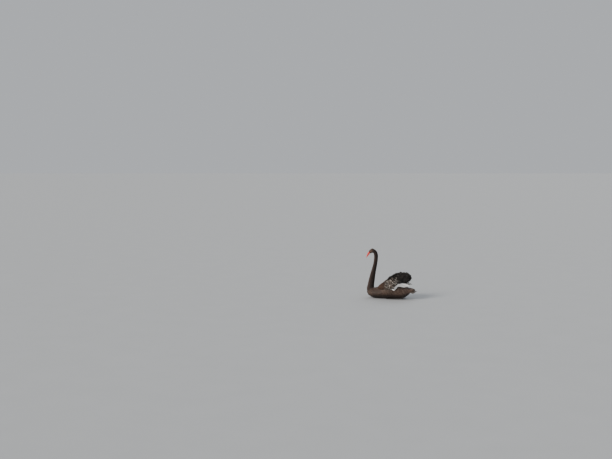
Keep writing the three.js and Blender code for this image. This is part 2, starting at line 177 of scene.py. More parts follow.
# Body form: the surfaces of trunk, tail, neck, head and wings, written as section laws in metres, the
# same that the solids have. A form gives a point for a share of its length and an angle round it,
# sunk by a depth, so that the skin lies inside the coat and each feather's root lies on the skin.
def along(stations, column, x):
    stations = np.asarray(stations, dtype=float)
    xs, ys = stations[:, 0], stations[:, column]
    x = np.clip(np.asarray(x, dtype=float), xs[0], xs[-1])
    i = np.clip(np.searchsorted(xs, x, side="right") - 1, 0, len(xs) - 2)
    low, high = np.maximum(np.arange(len(xs)) - 1, 0), np.minimum(np.arange(len(xs)) + 1, len(xs) - 1)
    slopes = (ys[high] - ys[low]) / (xs[high] - xs[low])
    span = xs[i + 1] - xs[i]
    t = (x - xs[i]) / span
    return (
        (2 * t**3 - 3 * t**2 + 1) * ys[i]
        + (t**3 - 2 * t**2 + t) * span * slopes[i]
        + (3 * t**2 - 2 * t**3) * ys[i + 1]
        + (t**3 - t**2) * span * slopes[i + 1]
    )


def rounded_end(distance, radius):
    short = 1 - np.clip(distance, 0, radius) / radius
    return np.sqrt(np.maximum(0, 1 - short * short))


def smoothstep(x, low, high):
    t = np.clip((np.asarray(x, dtype=float) - low) / (high - low), 0, 1)
    return t * t * (3 - 2 * t)


def stacked(x, y, z):
    x, y, z = np.broadcast_arrays(x, y, z)
    return np.stack([x, y, z], axis=-1)


TRUNK = (  # x, top, bottom, half breadth
    (-0.332, 0.122, 0.052, 0.066), (-0.295, 0.137, 0.022, 0.084), (-0.235, 0.137, -0.001, 0.106),
    (-0.150, 0.157, -0.007, 0.124), (-0.040, 0.205, -0.007, 0.133), (0.060, 0.214, -0.007, 0.130),
    (0.140, 0.182, 0.002, 0.110), (0.200, 0.158, 0.036, 0.084), (0.255, 0.145, 0.084, 0.058),
    (0.300, 0.122, 0.100, 0.034),
)
BELLY_CLEAR = 0.0012


def trunk_form(share, angle, sunk):
    start, end = TRUNK[0][0] + sunk, TRUNK[-1][0] - sunk
    x = start + (end - start) * np.asarray(share, dtype=float)
    full = np.minimum(rounded_end(x - start, 0.062), rounded_end(end - x, 0.040))
    top, bottom = along(TRUNK, 1, x) - sunk, along(TRUNK, 2, x) + sunk
    waist = bottom + (top - bottom) * 0.47
    up = np.sin(angle)
    reach = np.where(up > 0, top - waist, waist - bottom)
    z = waist + up * reach * full
    return stacked(x, np.cos(angle) * (along(TRUNK, 3, x) - sunk) * full, np.maximum(z, BELLY_CLEAR))


TAIL = (  # x, top, bottom, half breadth
    (0.196, 0.156, 0.096, 0.050), (0.240, 0.149, 0.092, 0.060), (0.285, 0.129, 0.097, 0.067),
    (0.318, 0.112, 0.099, 0.060), (0.334, 0.105, 0.100, 0.050),
)
TAIL_ARCH = 0.009


def tail_form(share, angle, sunk):
    start, end = TAIL[0][0], TAIL[-1][0] - 3 * sunk
    x = start + (end - start) * np.asarray(share, dtype=float)
    full = np.minimum(rounded_end(x - start, 0.020), rounded_end(end - x, 0.034))
    top, bottom = along(TAIL, 1, x) - sunk, along(TAIL, 2, x) + sunk
    thick = np.maximum((top - bottom) / 2, 0.0015)
    across = np.cos(angle)
    z = (top + bottom) / 2 + np.sin(angle) * thick * np.minimum(1, full + 0.2) - TAIL_ARCH * across**2 * full
    return stacked(x, across * (along(TAIL, 3, x) - sunk) * full, z)


NECK_POINTS = (  # x and z of the middle of the neck, from inside the breast to the skull
    (-0.262, 0.062), (-0.282, 0.120), (-0.277, 0.180), (-0.268, 0.232), (-0.258, 0.285), (-0.247, 0.338),
    (-0.234, 0.391), (-0.223, 0.444), (-0.215, 0.497), (-0.213, 0.545), (-0.219, 0.580), (-0.238, 0.605),
    (-0.266, 0.612),
)
NECK_ROOT_HALF, NECK_TOP_HALF = 0.045, 0.028


def neck_table():
    points = np.array(NECK_POINTS)
    knots = np.concatenate([[0], np.cumsum(np.linalg.norm(np.diff(points, axis=0), axis=1))])
    fine = np.linspace(0, knots[-1], 400)
    xs = along(np.column_stack([knots, points[:, 0]]), 1, fine)
    zs = along(np.column_stack([knots, points[:, 1]]), 1, fine)
    run = np.concatenate([[0], np.cumsum(np.hypot(np.diff(xs), np.diff(zs)))])
    return run / run[-1], xs, zs


NECK_SHARE, NECK_X, NECK_Z = neck_table()


def neck_form(share, angle, sunk):
    share = np.asarray(share, dtype=float)
    x, z = np.interp(share, NECK_SHARE, NECK_X), np.interp(share, NECK_SHARE, NECK_Z)
    step = 0.02
    ahead, behind = np.minimum(share + step, 1), np.maximum(share - step, 0)
    tx = np.interp(ahead, NECK_SHARE, NECK_X) - np.interp(behind, NECK_SHARE, NECK_X)
    tz = np.interp(ahead, NECK_SHARE, NECK_Z) - np.interp(behind, NECK_SHARE, NECK_Z)
    size = np.hypot(tx, tz)
    depth_half = NECK_ROOT_HALF + (NECK_TOP_HALF - NECK_ROOT_HALF) * smoothstep(share, 0.12, 0.72)
    flare = 0.014 * (1 - smoothstep(share, 0.0, 0.2))
    across = np.cos(angle) * (depth_half * 0.88 + flare * 1.6 - sunk)
    out = np.sin(angle) * (depth_half + flare - sunk)
    return stacked(x - out * tz / size, across, z + out * tx / size)


HEAD_MIDDLE = (-0.277, 0.607)
HEAD_PITCH = math.radians(34.0)
HEAD = (  # x ahead of the nape (negative is behind the middle), up, down, half breadth
    (-0.040, 0.0140, 0.0150, 0.0155), (-0.028, 0.0190, 0.0190, 0.0185), (-0.012, 0.0255, 0.0230, 0.0225),
    (0.008, 0.0275, 0.0250, 0.0245), (0.028, 0.0260, 0.0250, 0.0240), (0.046, 0.0200, 0.0220, 0.0200),
)


def head_point(ahead, side, above):
    x = HEAD_MIDDLE[0] - ahead * math.cos(HEAD_PITCH) - above * math.sin(HEAD_PITCH)
    z = HEAD_MIDDLE[1] - ahead * math.sin(HEAD_PITCH) + above * math.cos(HEAD_PITCH)
    return stacked(x, side, z)


def head_form(share, angle, sunk):
    start, end = HEAD[0][0] + sunk, HEAD[-1][0] - sunk
    x = start + (end - start) * np.asarray(share, dtype=float)
    full = np.minimum(rounded_end(x - start, 0.013), rounded_end(end - x, 0.024))
    up = np.sin(angle)
    reach = np.where(up > 0, along(HEAD, 1, x), along(HEAD, 2, x)) - sunk
    return head_point(-x, np.cos(angle) * (along(HEAD, 3, x) - sunk) * full, up * reach * full)


WING = (  # x, y, z of the middle, half length and half thickness of the leaning section
    (-0.180, 0.084, 0.141, 0.016, 0.013), (-0.140, 0.095, 0.158, 0.035, 0.022),
    (-0.080, 0.105, 0.182, 0.057, 0.032), (-0.020, 0.108, 0.204, 0.077, 0.038),
    (0.040, 0.101, 0.218, 0.088, 0.041), (0.085, 0.091, 0.238, 0.080, 0.040),
    (0.120, 0.082, 0.257, 0.062, 0.037), (0.165, 0.072, 0.263, 0.052, 0.033),
    (0.214, 0.066, 0.266, 0.034, 0.026),
)
WING_LEAN = (math.radians(12.0), math.radians(20.0))


def wing_form(share, angle, sunk):
    share = np.asarray(share, dtype=float)
    start, end = WING[0][0] + sunk, WING[-1][0] - sunk
    x = start + (end - start) * share
    full = np.minimum(rounded_end(x - start, 0.026), rounded_end(end - x, 0.030))
    lean = WING_LEAN[0] + (WING_LEAN[1] - WING_LEAN[0]) * share
    up = (along(WING, 3, x) - sunk) * full * np.sin(angle)
    out = (along(WING, 4, x) - sunk) * full * np.cos(angle)
    y = along(WING, 1, x) + out * np.cos(lean) - up * np.sin(lean)
    return stacked(x, y, along(WING, 2, x) + out * np.sin(lean) + up * np.cos(lean))


# Skin: one skin under the whole coat, from the tail through the trunk, wings and neck to the bill. The
# forms are joined, merged by a voxel remesh and smoothed, so that neck and wings grow out of the trunk
# with no seam. It is dark and finely pebbled, and bare and red from the bill's root to the eye.
COAT_DEPTH = 0.006
NECK_COAT_DEPTH = COAT_DEPTH * 0.7
WING_COAT_DEPTH = COAT_DEPTH * 1.6
FACE_DEPTH = 0.0022
TAIL_DEPTH = 0.016
SKIN_VOXEL = 0.0036
LORES_MIDDLE = head_point(0.0335, 0.0, -0.0050)
LORES_REACH, LORES_FADE = 0.0205, 0.0030
BARE_RED, SKIN_DARK = (0.62, 0.030, 0.024), (0.013, 0.011, 0.010)


def form_shape(form, sunk, rows, columns, mirrored=False):
    bm = bmesh.new()
    bmesh.ops.create_uvsphere(bm, u_segments=columns, v_segments=rows, radius=1.0)
    for vert in bm.verts:
        x, y, z = vert.co
        share = (1 + z) / 2
        if math.hypot(x, y) < 1e-6:
            place = (form(share, 0.0, sunk) + form(share, math.pi, sunk)) / 2
        else:
            place = form(share, math.atan2(y, x), sunk)
        vert.co = (place[0], -place[1] if mirrored else place[1], place[2])
    bmesh.ops.recalc_face_normals(bm, faces=bm.faces[:])
    return bm


def joined(shapes):
    whole = bmesh.new()
    for shape in shapes:
        part = bpy.data.meshes.new("part")
        shape.to_mesh(part)
        shape.free()
        whole.from_mesh(part)
        bpy.data.meshes.remove(part)
    return whole


def finished_mesh(bm, name, modifiers=()):
    mesh = bpy.data.meshes.new(name)
    bm.to_mesh(mesh)
    bm.free()
    if not modifiers:
        return mesh
    maker = new_object(name + "_maker", mesh)
    for kind, settings in modifiers:
        modifier = maker.modifiers.new(kind, kind)
        for key, value in settings.items():
            setattr(modifier, key, value)
    made = bpy.data.meshes.new_from_object(maker.evaluated_get(bpy.context.evaluated_depsgraph_get()))
    made.name = name
    bpy.data.objects.remove(maker)
    bpy.data.meshes.remove(mesh)
    return made


def merged(shapes, name, voxel, rounds):
    """Shapes merged into one closed mesh by a voxel remesh, then smoothed a few rounds."""
    settings = {"mode": "VOXEL", "voxel_size": voxel, "use_smooth_shade": True}
    mesh = finished_mesh(shapes, name, [("REMESH", settings)])
    bm = bmesh.new()
    bm.from_mesh(mesh)
    for _ in range(rounds):
        bmesh.ops.smooth_vert(
            bm, verts=bm.verts[:], factor=0.5, use_axis_x=True, use_axis_y=True, use_axis_z=True
        )
    bm.to_mesh(mesh)
    bm.free()
    return mesh


def new_piece(name, mesh, stuff):
    """A smooth-shaded piece of one material that rides the body."""
    mesh.polygons.foreach_set("use_smooth", np.ones(len(mesh.polygons), dtype=bool))
    mesh.materials.clear()
    mesh.materials.append(stuff)
    piece = new_object(name, mesh)
    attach(piece, "root")
    return piece


skin_mesh = merged(
    joined([
        form_shape(trunk_form, COAT_DEPTH, 64, 64),
        form_shape(tail_form, TAIL_DEPTH, 40, 40),
        form_shape(neck_form, NECK_COAT_DEPTH, 90, 40),
        form_shape(head_form, FACE_DEPTH, 48, 48),
        form_shape(wing_form, WING_COAT_DEPTH, 60, 40),
        form_shape(wing_form, WING_COAT_DEPTH, 60, 40, mirrored=True),
    ]),
    "skin", SKIN_VOXEL, rounds=3,
)
skin_stuff, skin_nodes, skin_shader = node_material("skin", Roughness=0.75, Specular_IOR_Level=0.18)
skin_from_lores = new_node(
    skin_nodes, "VectorMath", {0: object_place(skin_nodes), 1: tuple(LORES_MIDDLE)}, operation="DISTANCE"
)
skin_mask = ramped(skin_nodes, skin_from_lores.outputs["Value"], LORES_REACH, LORES_REACH + LORES_FADE)
skin_tone = mixed(skin_nodes, skin_mask, BARE_RED, SKIN_DARK)
skin_pebbles = celled(skin_nodes, 900.0)
skin_specked = mixed(skin_nodes, 0.35, skin_tone, skin_pebbles, blend="MULTIPLY")
coloured(skin_nodes, skin_shader, skin_specked, skin_pebbles, 0.35)
skin = new_piece("skin", skin_mesh, skin_stuff)
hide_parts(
    "trunk", "tail", "neck_lower", "neck_middle", "neck_upper", "head", "wing_left", "wing_right"
)


# Contour feathers: small solid vanes, cupped across and bent to the body, whose tips overlap the next
# row. They grow in staggered rows from the skin, as in life, and run from the bill down the neck, over
# the breast and back to the tail. Each carries its own shade, and a worn, paler fringe.
BAKE_PATCH = 0.003
VANE_KINDS = 4
ROLL_SPREAD = 0.07
BODY_COAT_END = 0.272
BODY_DEEPEST, BODY_PROUD = 0.012, 0.0022
BODY_PITCH, BODY_PITCH_GROWN = 0.0066, 0.0040
BODY_LENGTH, BODY_LENGTH_GROWN = 0.020, 0.013
BODY_WIDTH, BODY_LIFT = 0.80, 0.155
BODY_VANE = (4, 6, 0.16, 0.10, 0.012, 0.045)  # across, lengthwise, cup, bend, thickness, raggedness
ROUND_TIP = -0.9
skin_tree = BVHTree.FromPolygons(
    [v.co.copy() for v in skin_mesh.vertices], [tuple(p.vertices) for p in skin_mesh.polygons]
)


def on_skin(place, normal, deepest, proud):
    """Feather roots raised to stand proud of the skin; keep says which were not too deep under it."""
    keep = np.zeros(len(place), dtype=bool)
    for number, point in enumerate(place):
        spot, facing, _, gap = skin_tree.find_nearest(Vector(point))
        above = gap if (Vector(point) - spot).dot(facing) > 0 else -gap
        keep[number] = above > -deepest
        if above < proud:
            place[number] = spot + facing * proud
        if above < 0:
            normal[number] = facing
    return keep, place, normal


def vane_shapes(across, lengthwise, cup, bend, thickness, ragged, seed, point=0.0):
    """Grids shaped to a vane one long and one wide, given thickness: points, quads and their own UV."""
    random = np.random.default_rng(seed)
    clouds = []
    for _ in range(VANE_KINDS):
        bm = bmesh.new()
        bmesh.ops.create_grid(bm, x_segments=across, y_segments=lengthwise, size=0.5)
        grid_uv = []
        for vert in bm.verts:
            u, v = vert.co.x + 0.5, 1 - (0.5 - vert.co.y) ** 1.4
            side = 2 * u - 1
            wide = 0.30 + 0.70 * float(smoothstep(v, 0.0, 0.42))
            wide *= 1 - 0.34 * float(smoothstep(v, 0.6, 1.0))
            rough = random.uniform(-ragged, ragged) if (abs(side) > 0.9 or v > 0.99) else 0.0
            drop = 1 - math.sqrt(1 - 0.88 * side * side)
            drop *= (0.32 - 0.22 * point) * float(smoothstep(v, 0.45, 1.0))
            z = -cup * side * side * wide - bend * v * v
            vert.co = (0.5 * side * wide * (1 + rough), v - drop + rough, z)
            grid_uv.append((u, v))
        flat = np.array([tuple(vert.co) for vert in bm.verts])
        bmesh.ops.solidify(bm, geom=bm.faces[:], thickness=thickness)
        bm.verts.index_update()
        points = np.array([tuple(vert.co) for vert in bm.verts])
        nearest = np.argmin(((points[:, None, :] - flat[None, :, :]) ** 2).sum(axis=2), axis=1)
        vane_uv = np.array(grid_uv)[nearest]
        quads = np.array([[vert.index for vert in face.verts] for face in bm.faces])
        bm.free()
        clouds.append(points)
    return np.stack(clouds), quads, vane_uv


def unit(vectors):
    return vectors / np.maximum(np.linalg.norm(vectors, axis=-1, keepdims=True), 1e-12)


def form_frame(form, share, angle, sunk, mirrored):
    """Points on a form with their outward normals and the direction of growing share."""
    step = 1e-3
    place = form(share, angle, sunk)
    forward = form(np.minimum(share + step, 1), angle, sunk)
    forward = forward - form(np.maximum(share - step, 0), angle, sunk)
    around = form(share, angle + step, sunk) - form(share, angle - step, sunk)
    normal = unit(np.cross(forward, around))
    proud = form(share, angle, sunk - 1e-3) - place
    normal *= np.sign((normal * proud).sum(axis=-1, keepdims=True) + 1e-12)
    if mirrored:
        flip = np.array([1.0, -1.0, 1.0])
        place, forward, normal = place * flip, forward * flip, normal * flip
    return place, normal, unit(forward)


def staggered(form, sunk, pitch, spread, seed, first=0.0, last=1.0):
    """Shares and angles of roots in staggered rows, pitch(share) apart and spread times that across."""
    random = np.random.default_rng(seed)
    fine = np.linspace(first, last, 700)
    trail = np.stack([form(fine, a, sunk) for a in (0.0, math.pi / 4, math.pi / 2, math.pi, -math.pi / 2)])
    run = np.concatenate([[0], np.cumsum(np.linalg.norm(np.diff(trail, axis=1), axis=2).max(axis=0))])
    turn_angles = np.linspace(-math.pi, math.pi, 181)
    shares, angles, travelled, row = [], [], 0.3 * pitch(first), 0
    while travelled < run[-1]:
        share = float(np.interp(travelled, run, fine))
        ring = form(np.full(turn_angles.shape, share), turn_angles, sunk)
        arc = np.concatenate([[0], np.cumsum(np.linalg.norm(np.diff(ring, axis=0), axis=1))])
        count = max(3, int(round(arc[-1] / (pitch(share) * spread))))
        steps = (np.arange(count) + 0.5 * (row % 2) + random.uniform(-0.22, 0.22, count)) / count % 1.0
        angles.append(np.interp(steps * arc[-1], arc, turn_angles))
        jitter = random.uniform(-0.25, 0.25, count) * pitch(share)
        shares.append(np.interp(travelled + jitter, run, fine))
        travelled += pitch(share)
        row += 1
    return np.concatenate(shares), np.concatenate(angles)


def kept(keep, values):
    return [each[keep] for each in values]


def unwrapped(share, angle):
    """A root's place on the unwrap of its form: its share of the length and its angle round it."""
    return np.stack([share, (angle + math.pi) / (2 * math.pi)], axis=-1) * 0.99 + 0.005


def feather_mesh(name, shapes, rows, seed):
    """Joins one vane for each root into a mesh with the UV maps OFBake and Vane and the vanes' shades."""
    random = np.random.default_rng(seed)
    clouds, quads, vane_uv = shapes
    count, corners = len(rows["place"]), clouds.shape[1]
    pick = random.integers(0, len(clouds), count)
    normal, lift = rows["normal"], rows["lift"][:, None]
    ahead = unit(rows["heading"] - normal * (rows["heading"] * normal).sum(axis=1, keepdims=True))
    forward = ahead * np.cos(lift) + normal * np.sin(lift)
    outward = normal * np.cos(lift) - ahead * np.sin(lift)
    roll = random.normal(0, ROLL_SPREAD, count)[:, None]
    across = np.cross(forward, outward)
    rolled = across * np.cos(roll) + outward * np.sin(roll)
    outward = outward * np.cos(roll) - across * np.sin(roll)
    local, length = clouds[pick], rows["length"][:, None]
    x, y, z = local[:, :, 0] * rows["width"][:, None], local[:, :, 1] * length, local[:, :, 2] * length
    if "curl" in rows:
        z = z + rows["curl"][:, None] * length * smoothstep(local[:, :, 1], 0.45, 1.0) ** 1.5
    points = (
        rows["place"][:, None, :] + x[:, :, None] * rolled[:, None, :] + y[:, :, None] * forward[:, None, :]
        + z[:, :, None] * outward[:, None, :]
    )
    points[:, :, 2] = np.maximum(points[:, :, 2], BELLY_CLEAR * 0.6)
    faces = (quads[None, :, :] + (np.arange(count) * corners)[:, None, None]).reshape(-1, 4)
    mesh = bpy.data.meshes.new(name)
    mesh.vertices.add(count * corners)
    mesh.vertices.foreach_set("co", points.reshape(-1).astype(np.float32))
    mesh.loops.add(faces.size)
    mesh.loops.foreach_set("vertex_index", faces.reshape(-1).astype(np.int32))
    mesh.polygons.add(len(faces))
    mesh.polygons.foreach_set("loop_start", np.arange(0, faces.size, 4, dtype=np.int32))
    mesh.update(calc_edges=True)
    roots = unwrapped(rows["share"], rows["angle"])
    baked = (roots[:, None, :] + (vane_uv[None, :, :] - 0.5) * BAKE_PATCH).reshape(-1, 2)
    for label, uv in (("OFBake", baked), ("Vane", np.tile(vane_uv, (count, 1)))):
        corner_uv = uv[faces.reshape(-1)].reshape(-1).astype(np.float32)
        mesh.uv_layers.new(name=label).data.foreach_set("uv", corner_uv)
    for label in ("tint", "fringe"):
        layer = mesh.attributes.new(label, "FLOAT", "POINT")
        layer.data.foreach_set("value", np.repeat(rows[label], corners).astype(np.float32))
    mesh.update()
    return mesh


def coat(names, shapes, rows, seed, stuff):
    """Vanes on all roots of the rows, shared out in order among pieces of these names."""
    for number, run in enumerate(np.array_split(np.arange(len(rows["share"])), len(names))):
        part = {key: values[run] for key, values in rows.items()}
        new_piece(names[number], feather_mesh(names[number], shapes, part, seed + number), stuff)


def plumage(name, dark, brown, pale, barbs=46.0, rough=0.52, bump=0.35, fringe_from=0.72, barb_shade=0.60):
    """Dark vanes with a shaft and barbs, browner by their tint, and paler along a worn fringe; on the white
    feathers that fringe colour is a grey rim of painted shade.
    """
    stuff, tree, shader = node_material(
        name, Roughness=rough, Specular_IOR_Level=0.20, Sheen_Weight=0.05, Sheen_Roughness=0.45
    )

    def reckoned(operation, *values):
        return new_node(tree, "Math", dict(enumerate(values)), operation=operation).outputs[0]

    uv = new_node(tree, "UVMap", {}, uv_map="Vane").outputs["UV"]
    split = new_node(tree, "SeparateXYZ", {"Vector": uv}).outputs
    side = reckoned("ABSOLUTE", reckoned("MULTIPLY_ADD", split["X"], 2.0, -1.0))
    rim = reckoned("MAXIMUM", side, reckoned("MULTIPLY", split["Y"], 0.98))
    worn = reckoned("MULTIPLY_ADD", noised(tree, 38.0), 0.22, reckoned("SUBTRACT", rim, 0.11))
    edge = reckoned("MULTIPLY", ramped(tree, worn, fringe_from, 1.0), attribute(tree, "fringe"))
    edged = mixed(tree, edge, mixed(tree, attribute(tree, "tint"), dark, brown), pale)
    slant = reckoned("MULTIPLY_ADD", side, -0.35, split["Y"])
    barb = reckoned("SINE", reckoned("MULTIPLY", slant, barbs * 2 * math.pi))
    shaft = reckoned("LESS_THAN", side, 0.07)
    lines = reckoned("MAXIMUM", reckoned("MULTIPLY_ADD", barb, 0.22, 0.22), shaft)
    shaded = mixed(tree, lines, edged, (barb_shade, barb_shade, barb_shade), blend="MULTIPLY")
    coloured(tree, shader, shaded, reckoned("MULTIPLY_ADD", barb, 0.3, shaft), bump)
    return stuff


def shades(place, seed, brown_low, brown_high):
    random = np.random.default_rng(seed)
    sweep = np.sin(place[:, 0] * 31 + 1.3) * np.sin(place[:, 1] * 37 + place[:, 2] * 29)
    base = brown_low + (brown_high - brown_low) * (0.5 + 0.3 * sweep)
    return np.clip(base + random.normal(0, 0.13, len(place)), 0, 1)


def body_pitch(share):
    x = TRUNK[0][0] + (TRUNK[-1][0] - TRUNK[0][0]) * share
    return BODY_PITCH + BODY_PITCH_GROWN * float(smoothstep(x, -0.27, -0.08))


def coat_of_trunk():
    share, angle = staggered(trunk_form, COAT_DEPTH, body_pitch, 1.0, seed=11)
    place, normal, _ = form_frame(trunk_form, share, angle, COAT_DEPTH, False)
    ahead_of_tail = place[:, 0] < BODY_COAT_END
    keep, place, normal = on_skin(place, normal, BODY_DEEPEST, BODY_PROUD)
    share, angle, place, normal = kept(keep & ahead_of_tail, (share, angle, place, normal))
    random = np.random.default_rng(12)
    count, x, z = len(share), place[:, 0], place[:, 2]
    fall = 1.7 * (1 - smoothstep(x, -0.34, -0.20)) * smoothstep(z, 0.01, 0.06)
    rise = 0.25 * smoothstep(x, 0.10, 0.24) * (normal[:, 2] < 0)
    strays = random.normal(0, 0.09, (2, count))
    heading = stacked(np.ones(count), strays[0], rise - fall + strays[1])
    grown = smoothstep(x, -0.30, -0.08)
    length = (BODY_LENGTH + BODY_LENGTH_GROWN * grown) * random.uniform(0.82, 1.22, count)
    width = length * (BODY_WIDTH + 0.06 * random.normal(0, 1, count))
    beneath = smoothstep(-normal[:, 2], 0.3, 0.8)
    lift = (BODY_LIFT + random.normal(0, 0.03, count)) * (1 - 0.75 * beneath) * (0.45 + 0.55 * grown)
    flank = smoothstep(z, 0.03, 0.09) * (1 - smoothstep(z, 0.15, 0.19))
    rows = {
        "share": share, "angle": angle, "place": place, "normal": normal, "heading": heading,
        "length": length, "width": width, "lift": lift,
        "tint": shades(place, 13, 0.25, 0.95) * (0.45 + 0.55 * flank),
        "fringe": (0.25 + 0.65 * flank) * random.uniform(0.6, 1.0, count),
    }
    names = ["body_feathers_1", "body_feathers_2", "body_feathers_3"]
    coat(names, vane_shapes(*BODY_VANE, 5, ROUND_TIP), rows, 14, body_stuff)


BODY_DARK, BODY_BROWN, BODY_EDGE = (0.0100, 0.0078, 0.0070), (0.080, 0.047, 0.034), (0.215, 0.155, 0.118)
body_stuff = plumage("contour_feathers", BODY_DARK, BODY_BROWN, BODY_EDGE)
coat_of_trunk()


# Neck feathers: short, narrow and close, almost a velvet, longer towards the breast. They point down the
# neck and turn back over the breast where the neck meets the trunk.
NECK_DEEPEST, NECK_PROUD = 0.008, 0.0012
NECK_PITCH, NECK_PITCH_FALL = 0.0058, 0.0020
NECK_LENGTH, NECK_LENGTH_GROWN = 0.0105, 0.0075
NECK_WIDTH, NECK_LIFT = 0.60, 0.17
NECK_VANE = (2, 4, 0.13, 0.10, 0.02, 0.03)
NECK_DARK, NECK_BROWN, NECK_EDGE = (0.0080, 0.0064, 0.0060), (0.082, 0.046, 0.035), (0.120, 0.080, 0.060)


def neck_pitch(share):
    return NECK_PITCH - NECK_PITCH_FALL * float(smoothstep(share, 0.1, 0.7))


def coat_of_neck():
    share, angle = staggered(neck_form, NECK_COAT_DEPTH, neck_pitch, 0.82, seed=21, first=0.06, last=0.985)
    place, normal, forward = form_frame(neck_form, share, angle, NECK_COAT_DEPTH, False)
    keep, place, normal = on_skin(place, normal, NECK_DEEPEST, NECK_PROUD)
    share, angle, place, normal, forward = kept(keep, (share, angle, place, normal, forward))
    random = np.random.default_rng(22)
    count = len(share)
    base = 1 - smoothstep(share, 0.08, 0.30)
    length = (NECK_LENGTH + NECK_LENGTH_GROWN * base) * random.uniform(0.85, 1.15, count)
    width = length * (NECK_WIDTH + 0.05 * random.normal(0, 1, count))
    lift = NECK_LIFT + random.normal(0, 0.035, count)
    # Painted light: the front of the neck, which faces the key, gets a browner tint and paler edges, as if
    # sunlit.
    lit_front = smoothstep(-normal[:, 0], -0.1, 0.8)
    rows = {
        "share": share, "angle": angle, "place": place, "normal": normal,
        "heading": unit(-forward + stacked(0.7 * base, 0.0, 0.0)),
        "length": length, "width": width, "lift": lift,
        "tint": shades(place, 23, 0.05, 0.35) + 0.40 * lit_front,
        "fringe": (0.12 + 0.38 * lit_front) * random.uniform(0.5, 1.0, count),
    }
    names = ["neck_feathers_1", "neck_feathers_2"]
    coat(names, vane_shapes(*NECK_VANE, 24, ROUND_TIP), rows, 25, neck_stuff)


neck_stuff = plumage("neck_feathers", NECK_DARK, NECK_BROWN, NECK_EDGE, barbs=22.0, rough=0.56)
coat_of_neck()


# Head feathers: the finest of all, a few millimetres long, lying back from the bill over crown, cheeks
# and throat. They leave the eye and the bare lores free, and end in a clean edge at the bill.
EYE_AHEAD, EYE_SIDE, EYE_ABOVE = 0.019, 0.0176, 0.004
EYE_RADIUS = 0.0075
EYE_FEATHERED = 0.0013
EYES = [head_point(EYE_AHEAD, side * EYE_SIDE, EYE_ABOVE) for side in (-1, 1)]
HEAD_ROW_PITCH = 0.0025
HEAD_DEEPEST, HEAD_PROUD = 0.0035, 0.0008
HEAD_LENGTH, HEAD_LENGTH_BACK = 0.0052, 0.0034
HEAD_WIDTH, HEAD_LIFT = 0.66, 0.19
HEAD_VANE = (2, 3, 0.12, 0.12, 0.035, 0.03)
HEAD_DARK, HEAD_BROWN, HEAD_EDGE = (0.0100, 0.0080, 0.0074), (0.135, 0.078, 0.055), (0.190, 0.125, 0.090)


def in_head_frame(points):
    x, z = points[:, 0] - HEAD_MIDDLE[0], points[:, 2] - HEAD_MIDDLE[1]
    ahead = -x * math.cos(HEAD_PITCH) - z * math.sin(HEAD_PITCH)
    above = -x * math.sin(HEAD_PITCH) + z * math.cos(HEAD_PITCH)
    return ahead, np.abs(points[:, 1]), above


def on_lores(points):
    """The bare wedge between bill and eye: it narrows from the bill's root to the front of the eye."""
    ahead, side, above = in_head_frame(points)
    reach = np.clip((ahead - EYE_AHEAD + 0.002) / 0.019, 0, 1)
    level = np.abs(above - 0.0030 + 0.0055 * reach) < 0.0028 + 0.0095 * reach
    return (ahead > EYE_AHEAD - 0.001) & level & (side > 0.004)


def coat_of_head():
    share, angle = staggered(head_form, FACE_DEPTH, lambda share: HEAD_ROW_PITCH, 0.92, seed=31)
    place, normal, forward = form_frame(head_form, share, angle, FACE_DEPTH, False)
    eye_gap = np.min([np.linalg.norm(place - eye, axis=1) for eye in EYES], axis=0)
    keep, place, normal = on_skin(place, normal, HEAD_DEEPEST, HEAD_PROUD)
    keep &= (eye_gap > EYE_RADIUS - EYE_FEATHERED) & ~on_lores(place)
    share, angle, place, normal, forward = kept(keep, (share, angle, place, normal, forward))
    random = np.random.default_rng(32)
    ahead, side, _ = in_head_frame(place)
    back = 1 - smoothstep(ahead, -0.03, 0.01)
    length = (HEAD_LENGTH + HEAD_LENGTH_BACK * back) * random.uniform(0.85, 1.15, len(share))
    lift = HEAD_LIFT + random.normal(0, 0.03, len(share))
    # Painted light: the sides of the face get a browner tint, as if sunlit.
    lit_cheek = smoothstep(side, 0.006, 0.018) * smoothstep(ahead, -0.030, 0.004)
    rows = {
        "share": share, "angle": angle, "place": place, "normal": normal,
        "heading": forward + stacked(0.0, 0.0, -0.6 * back),
        "length": length, "width": length * HEAD_WIDTH, "lift": lift,
        "tint": np.clip(shades(place, 33, 0.10, 0.40) + 0.45 * lit_cheek, 0, 1),
        "fringe": 0.45 * random.uniform(0.3, 1.0, len(share)),
    }
    shapes = vane_shapes(*HEAD_VANE, 34, ROUND_TIP)
    coat(["head_feathers"], shapes, rows, 35, head_stuff)


head_stuff = plumage("head_feathers", HEAD_DARK, HEAD_BROWN, HEAD_EDGE, barbs=12.0, rough=0.58)
coat_of_head()


# Wing coverts: rows of broad feathers over both faces of each folded wing, small at the shoulder and
# long towards the rear, where they are ruffled and curl up. Those of the middle have pale worn edges.
WING_DEEPEST, WING_PROUD = 0.006, 0.0022
WHITE_EDGE = (  # x and z of the upper edge of the white feathers
    (0.040, 0.136), (0.052, 0.150), (0.072, 0.175), (0.094, 0.206), (0.111, 0.224), (0.140, 0.228),
    (0.250, 0.210),
)
OUTER_HALF = 0.074
TIP_RUN = np.array([0.85, 0.0, 0.30])
COVERT_PITCH, COVERT_PITCH_GROWN = 0.0085, 0.0060
COVERT_LENGTH, COVERT_LENGTH_GROWN, COVERT_TIP_GROWN = 0.024, 0.026, 0.022
COVERT_WIDTH, COVERT_LIFT = 0.52, 0.17
COVERT_VANE = (5, 7, 0.11, 0.07, 0.010, 0.04)


def wing_pitch(share):
    return COVERT_PITCH + COVERT_PITCH_GROWN * float(smoothstep(share, 0.05, 0.55))


def over_white(tips):
    """Outer coverts whose tips would hang over the white feathers along the wing's rear edge."""
    edge = along(WHITE_EDGE, 1, tips[:, 0])
    return (np.abs(tips[:, 1]) > OUTER_HALF) & (tips[:, 0] > WHITE_EDGE[0][0]) & (tips[:, 2] < edge)


